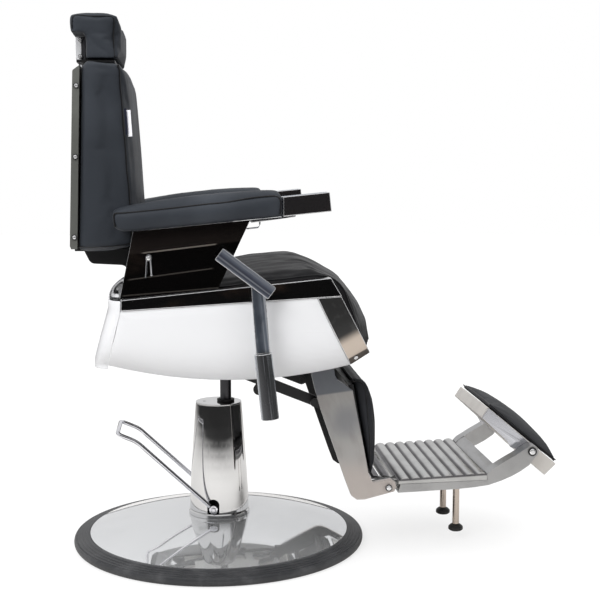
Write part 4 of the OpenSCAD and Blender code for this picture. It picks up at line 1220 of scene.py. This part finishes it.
@dataclass
class SeatBody:
    """Frame, shell, trim and side plates of the seat."""

    def build(self, bench: Workbench) -> None:
        """Makes the seat's pieces."""
        bench.refine("swivel_hub", UNDER_FRAME, 0.0012, 2)
        bench.refine("seat_frame", UNDER_FRAME, 0.0012, 2)
        bench.dress("hinge_axles", AXLE_STEEL)
        bench.dress("seat_board", SEAT_PLYWOOD)
        for node in ("shell_right", "shell_left", "shell_rear"):
            self._shell(bench, node)
        # Rails, side plates, strips and arm brackets get painted highlights on their rounded edges, and the
        # plates also on their rims.
        for _, side in BOTH_SIDES:
            bench.refine(f"rail_{side}", TRIM_POLISH, 0.0016, 3, edge=EDGE_HIGHLIGHT, rims=TRIM_POLISH)
            plate = f"side_plate_{side}"
            bench.refine(plate, PLATE_POLISH, 0.0018, 3, edge=EDGE_HIGHLIGHT, rims=EDGE_HIGHLIGHT)
            bench.refine(f"strip_{side}", STRIP_METAL, 0.0014, 2, 50.0, edge=EDGE_HIGHLIGHT)
            # The arm brackets' rims carry a painted reflection.
            bench.refine(f"arm_bracket_{side}", ARM_BLACK, 0.0014, 3, edge=EDGE_HIGHLIGHT, rims=TOP_REFLECTION)
        bench.refine("trim_screws", SCREW_STEEL, 0.0006, 2, 50.0)
        bench.refine("arm_hooks", WIRE_STEEL, 0.0003, 1, 80.0)
        bench.refine("side_hook", WIRE_STEEL, 0.0005, 2, 50.0)

    def _shell(self, bench: Workbench, node: str) -> None:
        """Smooth glossy panel with rolled edges."""
        panel = bench.piece(f"{node}_moulded", bench.copy_of(node), SHELL_WHITE, node, smooth_angle=70.0)
        round_edges(panel, 0.0007, 2, 60.0)
        rounding = panel.modifiers.new("smooth_panel", "SUBSURF")
        rounding.subdivision_type = "SIMPLE"
        rounding.levels = rounding.render_levels = 1


@dataclass
class Lever:
    """Recline lever."""

    def build(self, bench: Workbench) -> None:
        """Makes the lever's pieces."""
        bench.refine("lever_shaft", FRAME_PAINT, 0.0008, 2, 50.0)
        # The bars' and the grip's rounded edges get painted highlights.
        bench.refine("lever_upper_bar", LEVER_STEEL, 0.001, 3, edge=EDGE_HIGHLIGHT)
        bench.refine("lever_lower_bar", LEVER_STEEL_LOW, 0.001, 3, edge=EDGE_HIGHLIGHT)
        low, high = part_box("lever_grip")
        grip = replace(GRIP_STEEL, half=(high.y - low.y) / 2)
        bench.refine("lever_grip", grip, 0.0014, 3, 50.0, edge=EDGE_HIGHLIGHT)


@dataclass
class Backrest:
    """Brackets, board and screws of the back, and the headrest's metal."""

    lean: float = 0.0314
    screw_inset: float = 0.004
    bolt_inset: float = 0.0045
    clamp_bright: float = 0.55
    label_at: Triple = (-0.181, -0.2325, 0.899)
    label_size: Point = (0.0085, 0.051)
    label_fold: float = 0.004
    label_lean: float = 0.003
    label_turn: float = 0.005
    label_curl: float = 0.0012
    label_sheet: float = 0.0008

    def build(self, bench: Workbench) -> None:
        """Makes the hard pieces of the back."""
        bench.refine("back_brackets", FRAME_PAINT, 0.0015, 2)
        bench.refine("back_board", BOARD_GREY, 0.005, 4)
        bench.refine("back_screws", SCREW_STEEL, 0.0006, 2, 50.0)
        bench.refine("headrest_base", FRAME_PAINT, 0.0008, 2)
        # The clamp plate carries a painted dark reflection past clamp_bright of its length.
        low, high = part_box("headrest_clamp")
        bright_to = low.x + (high.x - low.x) * self.clamp_bright
        bench.refine("headrest_clamp", replace(CLAMP_PLATE, bright_to=bright_to), 0.0008, 2)
        bench.refine("headrest_posts", CLAMP_CHROME, 0.0005, 2, 50.0)
        bench.refine("headrest_bolts", SCREW_STEEL, 0.0006, 2, 50.0)
        low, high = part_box("back_screws")
        inset = self.screw_inset
        heights = (low.z + inset, (low.z + high.z) / 2 + 0.01, high.z - inset)
        rows = [(high.x - inset - (high.z - z) * self.lean, z) for z in heights]
        Screws("back_screw", "back_screws", rows, high.y).build(bench)
        low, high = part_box("headrest_bolts")
        x = (low.x + high.x) / 2
        rows = [(x, low.z + self.bolt_inset), (x, high.z - self.bolt_inset)]
        Screws("headrest_bolt", "headrest_bolts", rows, high.y, washer=1.2).build(bench)
        width, height = self.label_size
        x0, y0, z0 = self.label_at
        self._tab(bench, "back_label", (x0, y0, z0), (width, height), TAG_WHITE)
        fold_at = (x0 - self.label_fold, y0, z0 + 0.003)
        self._tab(bench, "back_label_fold", fold_at, (self.label_fold, height), TAG_NAVY)

    def _tab(self, bench: Workbench, name: str, at: Triple, size: Point, finish: Finish) -> None:
        """Blank stiff tab that stands out of the cushion's front piping."""
        shape = bmesh.new()
        bmesh.ops.create_grid(shape, x_segments=5, y_segments=16, size=0.5)
        (x0, y0, z0), (width, height) = at, size
        for vertex in shape.verts:
            across, up = vertex.co.x + 0.5, vertex.co.y + 0.5
            curl = self.label_curl * math.sin(math.pi * across)
            x = x0 - self.label_lean * up + width * across
            y = y0 - self.label_turn * across - curl
            vertex.co = Vector((x, y, z0 + height * up))
        bmesh.ops.solidify(shape, geom=shape.faces[:], thickness=self.label_sheet)
        bmesh.ops.recalc_face_normals(shape, faces=shape.faces)
        bench.piece(name, shape, finish, "back_cushion", replaces=False)


@dataclass
class LegRest:
    """Covers, frame and links of the leg rest."""

    def build(self, bench: Workbench) -> None:
        """Makes the hard pieces of the leg rest."""
        for _, side in BOTH_SIDES:
            bench.refine(f"leg_cover_{side}", LEG_METAL, 0.0035, 4)
        bench.refine("leg_frame", FRAME_PAINT, 0.001, 2)
        bench.refine("calf_board", FRAME_PAINT, 0.0015, 2)
        bench.refine("foot_pins", SCREW_STEEL, 0.0008, 2, 50.0)
        low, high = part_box("foot_pins")
        middle = ((low.x + high.x) / 2, (low.z + high.z) / 2)
        Screws("foot_pin", "foot_pins", [middle], high.y, radius=0.0055, height=0.0022).build(bench)
        bench.refine("link_bars", FRAME_PAINT, 0.001, 2)


@dataclass
class Footplate:
    """Cast footplate and the flip-over footrest's metal."""

    def build(self, bench: Workbench) -> None:
        """Makes the footplate's pieces."""
        bench.refine("footplate_frame", FOOT_CAST, 0.0012, 3)
        bench.refine("footplate_tread", TREAD_CAST, 0.0006, 2, 30.0)
        bench.refine("foot_legs", FOOT_CHROME, 0.0008, 2, 50.0)
        bench.refine("foot_glides", GLIDE_RUBBER, 0.0012, 3, 30.0)
        bench.refine("flip_plate", FLIP_PAINT, 0.002, 3)
        # The brackets' rounded edges get painted highlights.
        bench.refine("flip_brackets", FLIP_CHROME, 0.0016, 3, edge=EDGE_HIGHLIGHT)
        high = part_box("flip_brackets")[1]
        size = {"radius": 0.0065, "height": 0.0024, "washer": 1.5}
        Screws("flip_pivot", "flip_brackets", [FLIP_HINGE], high.y, **size).build(bench)


def row(places: Sequence[Point], y: float) -> list[Vector]:
    """Points at one distance from the middle plane, from pairs of X and Z."""
    return [Vector((x, y, z)) for x, z in places]


def both(seam: Seam) -> list[Seam]:
    """A seam and its mirror image."""
    return [seam, seam.mirrored()]


def step(value: float, low: float, high: float) -> float:
    """Smooth step from 0 at low to 1 at high."""
    t = min(max((value - low) / (high - low), 0.0), 1.0)
    return t * t * (3 - 2 * t)


def wrinkle(*place: float) -> float:
    """Smooth noise, about -1 to 1, at a place given by its three parts."""
    return noise.noise(Vector(place))


def hump(value: float, middle: float, width: float) -> float:
    """Bell curve of height 1 round the middle."""
    return math.exp(-(((value - middle) / width) ** 2))


def seat_creases(place: Vector, normal: Vector) -> float:
    """Lengthwise folds on the seat's top, puckers along its side seams and an uneven front."""
    fold_depth, fine_depth, pucker_depth, nose_depth = 0.0016, 0.0012, 0.0006, 0.0014
    seam_y, seam_width = 0.25, 0.022
    x, y, z = place
    top = step(normal.z, 0.55, 0.9) * step(x, -0.16, -0.05)
    drift = wrinkle(x * 6.0, y * 9.0, 1.7)
    depth = 0.5 + wrinkle(x * 7.0, y * 11.0, 4.2)
    folds = math.sin(y * 85.0 + x * 14.0 + drift * 9.0) * max(depth, 0.0)
    fine = wrinkle(x * 22.0, y * 70.0, 0.4)
    puckers = math.sin(x * 150.0 + 2.0 * drift) * hump(abs(y), seam_y, seam_width)
    nose = step(x, 0.2, 0.26) * wrinkle(y * 9.0, z * 40.0, 2.0)
    return top * (fold_depth * folds + fine_depth * fine) + pucker_depth * puckers + nose_depth * nose


def back_creases(place: Vector, normal: Vector) -> float:
    """Slow dents of the back's cover, bulged sides with upright folds, and a few dents in front."""
    slow_depth, upright_depth, bulge_height, front_depth = 0.0011, 0.0007, 0.006, 0.001
    rear_x, side_run = -0.285, 0.11
    x, y, z = place
    slow = wrinkle(x * 9.0, y * 5.0, z * 6.0)
    side = step(abs(normal.y), 0.6, 0.95)
    front = step(normal.x, 0.6, 0.95)
    upright = wrinkle(x * 60.0, y * 3.0, z * 5.0)
    across = wrinkle(y * 26.0, z * 7.0, 3.1)
    bulge = math.sin(math.pi * min(max((x - rear_x) / side_run, 0.0), 1.0))
    sides = side * (upright_depth * upright + bulge_height * bulge)
    return slow_depth * slow + sides + front_depth * front * across


def small_creases(place: Vector, normal: Vector) -> float:
    """Faint unevenness of a small pad's cover."""
    slow_depth, fine_depth = 0.0007, 0.0003
    x, y, z = place
    return slow_depth * noise.noise(place * 16.0) + fine_depth * wrinkle(x * 30.0, y * 60.0, z * 45.0)


def arm_creases(place: Vector, normal: Vector) -> float:
    """Unevenness of an arm pad's cover, whose sides bulge along the pad's middle line."""
    bulge_height, bulge_width, slope = 0.0035, 0.016, 0.085
    middle = 0.742 + (place.x + 0.2) * slope
    side = step(abs(normal.y), 0.6, 0.95)
    return small_creases(place, normal) + bulge_height * side * hump(place.z, middle, bulge_width)


@dataclass
class Cushions:
    """All upholstered pieces. A line is a seam as pairs of X and Z, and its y is half its width."""

    seat_y: float = 0.267
    inner_in: float = 0.02
    inner_up: float = 0.006
    inner_rear: float = 0.012
    seat_line: Line = (
        (-0.15, 0.592), (-0.09, 0.598), (-0.03, 0.605), (0.03, 0.612), (0.08, 0.619), (0.125, 0.624),
        (0.165, 0.628), (0.198, 0.6295), (0.222, 0.6255), (0.242, 0.614), (0.256, 0.594), (0.266, 0.563),
        (0.278, 0.531), (0.291, 0.498), (0.3, 0.472),
    )
    back_y: float = 0.232
    back_line: Line = (
        (-0.171, 0.682), (-0.1665, 0.705), (-0.1655, 0.7707), (-0.1711, 0.8283), (-0.1751, 0.8953),
        (-0.1786, 0.9561), (-0.1815, 1.0), (-0.1845, 1.03), (-0.1895, 1.042),
    )
    back_foot: Line = (
        (-0.283, 0.676), (-0.26, 0.675), (-0.225, 0.675), (-0.2, 0.677), (-0.178, 0.682),
    )
    head_y: float = 0.137
    head_line: Line = (
        (-0.2035, 1.064), (-0.204, 1.085), (-0.2045, 1.11), (-0.206, 1.135), (-0.212, 1.146),
        (-0.23, 1.15), (-0.26, 1.1505), (-0.285, 1.15), (-0.2965, 1.144), (-0.3, 1.13), (-0.3005, 1.12),
    )
    arm_y: float = 0.29
    arm_half: float = 0.0395
    arm_line: Line = (
        (-0.2105, 0.722), (-0.2112, 0.735), (-0.2105, 0.747), (-0.205, 0.7535), (-0.18, 0.757),
        (-0.0872, 0.7672), (-0.03, 0.7745), (0.0222, 0.782), (0.06, 0.786), (0.0879, 0.787), (0.108, 0.784),
        (0.1165, 0.775),
        (0.1185, 0.76), (0.1185, 0.745),
    )
    calf_y: float = 0.141
    calf_line: Line = (
        (0.272, 0.386), (0.288, 0.3865), (0.303, 0.38), (0.312, 0.366), (0.317, 0.345), (0.3215, 0.3),
        (0.325, 0.25), (0.3265, 0.2), (0.327, 0.178),
    )
    flip_slope: float = 39.9
    flip_run: Point = (-0.071, 0.1265)
    flip_half: float = 0.124
    flip_rise: float = 0.0215

    def build(self, bench: Workbench) -> None:
        """Makes each cushion and its piping."""
        down = Vector((0.0, 0.0, -1.0))
        back = Vector((-1.0, 0.0, 0.0))
        line = self.seat_line[1:-1]
        inner = [(x - self.inner_rear * step(z, 0.6, 0.5), z + self.inner_up) for x, z in line]
        seat = both(Seam(row(self.seat_line, -self.seat_y)))
        inner_row = row(inner, -self.seat_y + self.inner_in)
        seat += both(Seam(inner_row, piping=0.0, depth=0.0016, width=0.004))
        spine = [self._ring(self.back_line, self.back_y)]
        spine += both(Seam(row(self.back_foot, -self.back_y), piping=0.0014, depth=0.0016))
        head = both(Seam(row(self.head_line, -self.head_y), piping=0.0013, depth=0.0018, width=0.005))
        calf = both(Seam(row(self.calf_line, -self.calf_y), piping=0.0013, depth=0.002))
        pads = [
            ("seat_cushion", SEAT_VINYL, down, seat, 0.006, seat_creases),
            ("back_cushion", BACK_VINYL, back, spine, 0.006, back_creases),
            ("headrest_pad", BACK_VINYL, down, head, 0.004, small_creases),
        ]
        for side, name in BOTH_SIDES:
            edges = (side * self.arm_y - self.arm_half, side * self.arm_y + self.arm_half)
            arm = [Seam(row(self.arm_line, y)) for y in edges]
            pads.append((f"arm_pad_{name}", BACK_VINYL, down, arm, 0.004, arm_creases))
        pads.append(("calf_pad", CALF_VINYL, back, calf, 0.005, small_creases))
        onto_plate = Vector((-0.64, 0.0, -0.77))
        pads.append(("flip_pad", FLIP_VINYL, onto_plate, [self._flip_ring()], 0.004, small_creases))
        for pad in pads:
            Upholstery(*pad).build(bench)

    def _ring(self, line: Line, y: float) -> Seam:
        """Ring up the right side, over to the left and down again."""
        shares = (-0.94, -0.5, 0.0, 0.5, 0.94)
        right, left = row(line, -y), row(line, y)
        top, foot = right[-1], right[0]
        over = [Vector((top.x + 0.001, y * share, top.z + 0.004)) for share in shares]
        under = [Vector((foot.x + 0.001, y * share, foot.z - 0.006)) for share in reversed(shares)]
        return Seam(right + over + left[::-1] + under, closed=True)

    def _flip_ring(self) -> Seam:
        """Ring round the footrest's pad, a little over its plate."""
        turn = math.radians(self.flip_slope)
        along = Vector((-math.cos(turn), 0.0, math.sin(turn)))
        out = Vector((math.sin(turn), 0.0, math.cos(turn)))
        base = Vector((FLIP_HINGE[0], 0.0, FLIP_HINGE[1])) + out * self.flip_rise
        low, high = self.flip_run
        middle = (low + high) / 2
        corners = (
            (low, 0.9), (low + 0.01, 1.0), (middle, 1.0), (high - 0.008, 1.0), (high, 0.9), (high, 0.0),
        )
        right = [base + along * s - Vector((0.0, self.flip_half * share, 0.0)) for s, share in corners]
        left = [Vector((p.x, -p.y, p.z)) for p in right[-2::-1]]
        ring = [base + along * low] + right + left
        return Seam(ring, closed=True, piping=0.0014, depth=0.0014, width=0.004)


# ---- studio ----


@dataclass(frozen=True)
class Lamp:
    """Soft square light that mirrors don't show, with its side in metres and its power in watts."""

    name: str
    at: Triple
    towards: Triple
    size: float
    power: float

    def build(self) -> None:
        """Adds the light."""
        data = bpy.data.lights.new(self.name, "AREA")
        data.energy = self.power
        data.size = self.size
        lamp = bpy.data.objects.new(self.name, data)
        lamp.location = self.at
        aim = Vector(self.towards) - Vector(self.at)
        lamp.rotation_euler = aim.to_track_quat("-Z", "Y").to_euler()
        lamp.visible_glossy = False
        bpy.context.scene.collection.objects.link(lamp)


@dataclass
class Studio:
    """Camera, soft lights, world and the plain floor.

    Fields:
        camera_at: the camera's place.
        yaw: its turn about Z in degrees.
        pitch: its tilt in degrees, below the horizon if negative.
        lens: its focal length in millimetres on a 36 mm sensor.
        lamps: the soft lights.
        wall: tone of the lit walls, as mirrors show them.
        dim: tone of the rest of the room, as mirrors show it.
        around: light that matt surfaces get from round about.
        front_share: the share of it that comes from in front of the sitter.
        above: light that matt surfaces get from above.
        floor_radius: radius of the floor.
        floor_glow: share of plain white in the floor that the camera sees.
    """

    camera_at: Vector = field(default_factory=lambda: Vector((-0.066, -2.581, 0.820)))
    yaw: float = 5.53
    pitch: float = -6.08
    lens: float = 69.75
    lamps: tuple[Lamp, ...] = (
        Lamp("key", (-1.5, -2.9, 2.3), (0.0, 0.0, 0.45), 1.6, 72.0),
        Lamp("fill", (1.8, -2.8, 1.2), (0.2, 0.0, 0.45), 2.2, 7.0),
    )
    wall: float = 0.75
    dim: Colour = (0.022, 0.023, 0.025)
    around: float = 0.38
    front_share: float = 0.45
    above: float = 1.9
    floor_radius: float = 14.0
    floor_glow: float = 0.72

    def build(self) -> None:
        """Sets up everything around the chair."""
        self._camera()
        self._world()
        self._floor()
        for lamp in self.lamps:
            lamp.build()
        bpy.context.scene.view_settings.view_transform = "Standard"

    def _camera(self) -> None:
        """Places the camera and makes it the scene's."""
        data = bpy.data.cameras.new("view")
        data.lens = self.lens
        data.sensor_width = 36.0
        camera = bpy.data.objects.new("view", data)
        camera.location = self.camera_at
        camera.rotation_euler = (math.radians(90 + self.pitch), 0.0, math.radians(-self.yaw))
        bpy.context.scene.collection.objects.link(camera)
        bpy.context.scene.camera = camera

    def _world(self) -> None:
        """White backdrop behind the chair, and a dim room with soft boxes for the chrome."""
        world = bpy.data.worlds.new("studio")
        world.use_nodes = True
        bpy.context.scene.world = world
        graph = Graph(world.node_tree)
        direction = graph.output(graph.node("ShaderNodeTexCoord"), "Generated")
        x, y, z = graph.axes(direction)
        behind = y.band(-0.15, 0.25)
        overhead = z.band(0.35, 0.6)
        left = x.band(-0.62, -0.82) * z.band(0.75, 0.35)
        right = x.band(0.9, 0.97)
        lit = behind
        for part in (overhead, left, right):
            lit = graph.math("MAXIMUM", lit, part)
        flag = x.band(0.55, 0.7) * (1.0 - x.band(0.86, 0.93)) * y.band(0.3, 0.1)
        shown = lit * (1.0 - flag)
        seen = graph.blend(shown, self.dim, (self.wall, self.wall, self.wall * 1.01))
        paths = graph.node("ShaderNodeLightPath")
        soft = graph.output(paths, "Is Diffuse Ray")
        front = self.around * self.front_share
        sides = graph.blend(x.band(0.1, 0.8), (self.around,) * 3, (front,) * 3)
        lighting = graph.blend(overhead, sides, (self.above,) * 3)
        room = graph.blend(soft, seen, lighting)
        colour = graph.blend(paths, room, (1.0, 1.0, 1.0))
        shader = graph.node("ShaderNodeBackground", inputs={"Color": colour, "Strength": 1.0})
        graph.end("ShaderNodeOutputWorld", shader)

    def _floor(self) -> None:
        """Wide pale floor that mirrors show only near the chair."""
        shape = bmesh.new()
        bmesh.ops.create_circle(shape, cap_ends=True, segments=64, radius=self.floor_radius)
        mesh = bpy.data.meshes.new("floor")
        shape.to_mesh(mesh)
        shape.free()
        floor = bpy.data.objects.new("floor", mesh)
        bpy.context.scene.collection.objects.link(floor)
        made = bpy.data.materials.new("pale_floor")
        made.use_nodes = True
        graph = Graph(made.node_tree)
        length = graph.node("ShaderNodeVectorMath", {"operation": "LENGTH"}, {0: graph.place()})
        away = graph.output(length, "Value")
        near = away.band(3.0, 0.7)
        tint = graph.blend(near, (0.02, 0.02, 0.02), (0.62, 0.61, 0.6))
        matt = graph.node("ShaderNodeBsdfDiffuse", inputs={"Color": tint})
        plain = graph.node("ShaderNodeBsdfDiffuse", inputs={"Color": (0.9, 0.9, 0.9, 1.0)})
        white = graph.node("ShaderNodeEmission", inputs={"Color": (1.0, 1.0, 1.0, 1.0), "Strength": 1.0})
        pale = graph.node("ShaderNodeMixShader", inputs={0: self.floor_glow, 1: plain, 2: white})
        paths = graph.node("ShaderNodeLightPath")
        shader = graph.node("ShaderNodeMixShader", inputs={0: paths, 1: matt, 2: pale})
        graph.end("ShaderNodeOutputMaterial", shader)
        mesh.materials.append(made)


def main() -> None:
    """Builds the chair round the frame."""
    logging.basicConfig(level=logging.INFO, format="%(message)s")
    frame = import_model()
    Studio().build()
    bench = Workbench(frame)
    for assembly in (PumpBase, Pedal, SeatBody, Lever, Backrest, LegRest, Footplate, Cushions):
        assembly().build(bench)


if __name__ == "__main__":
    main()
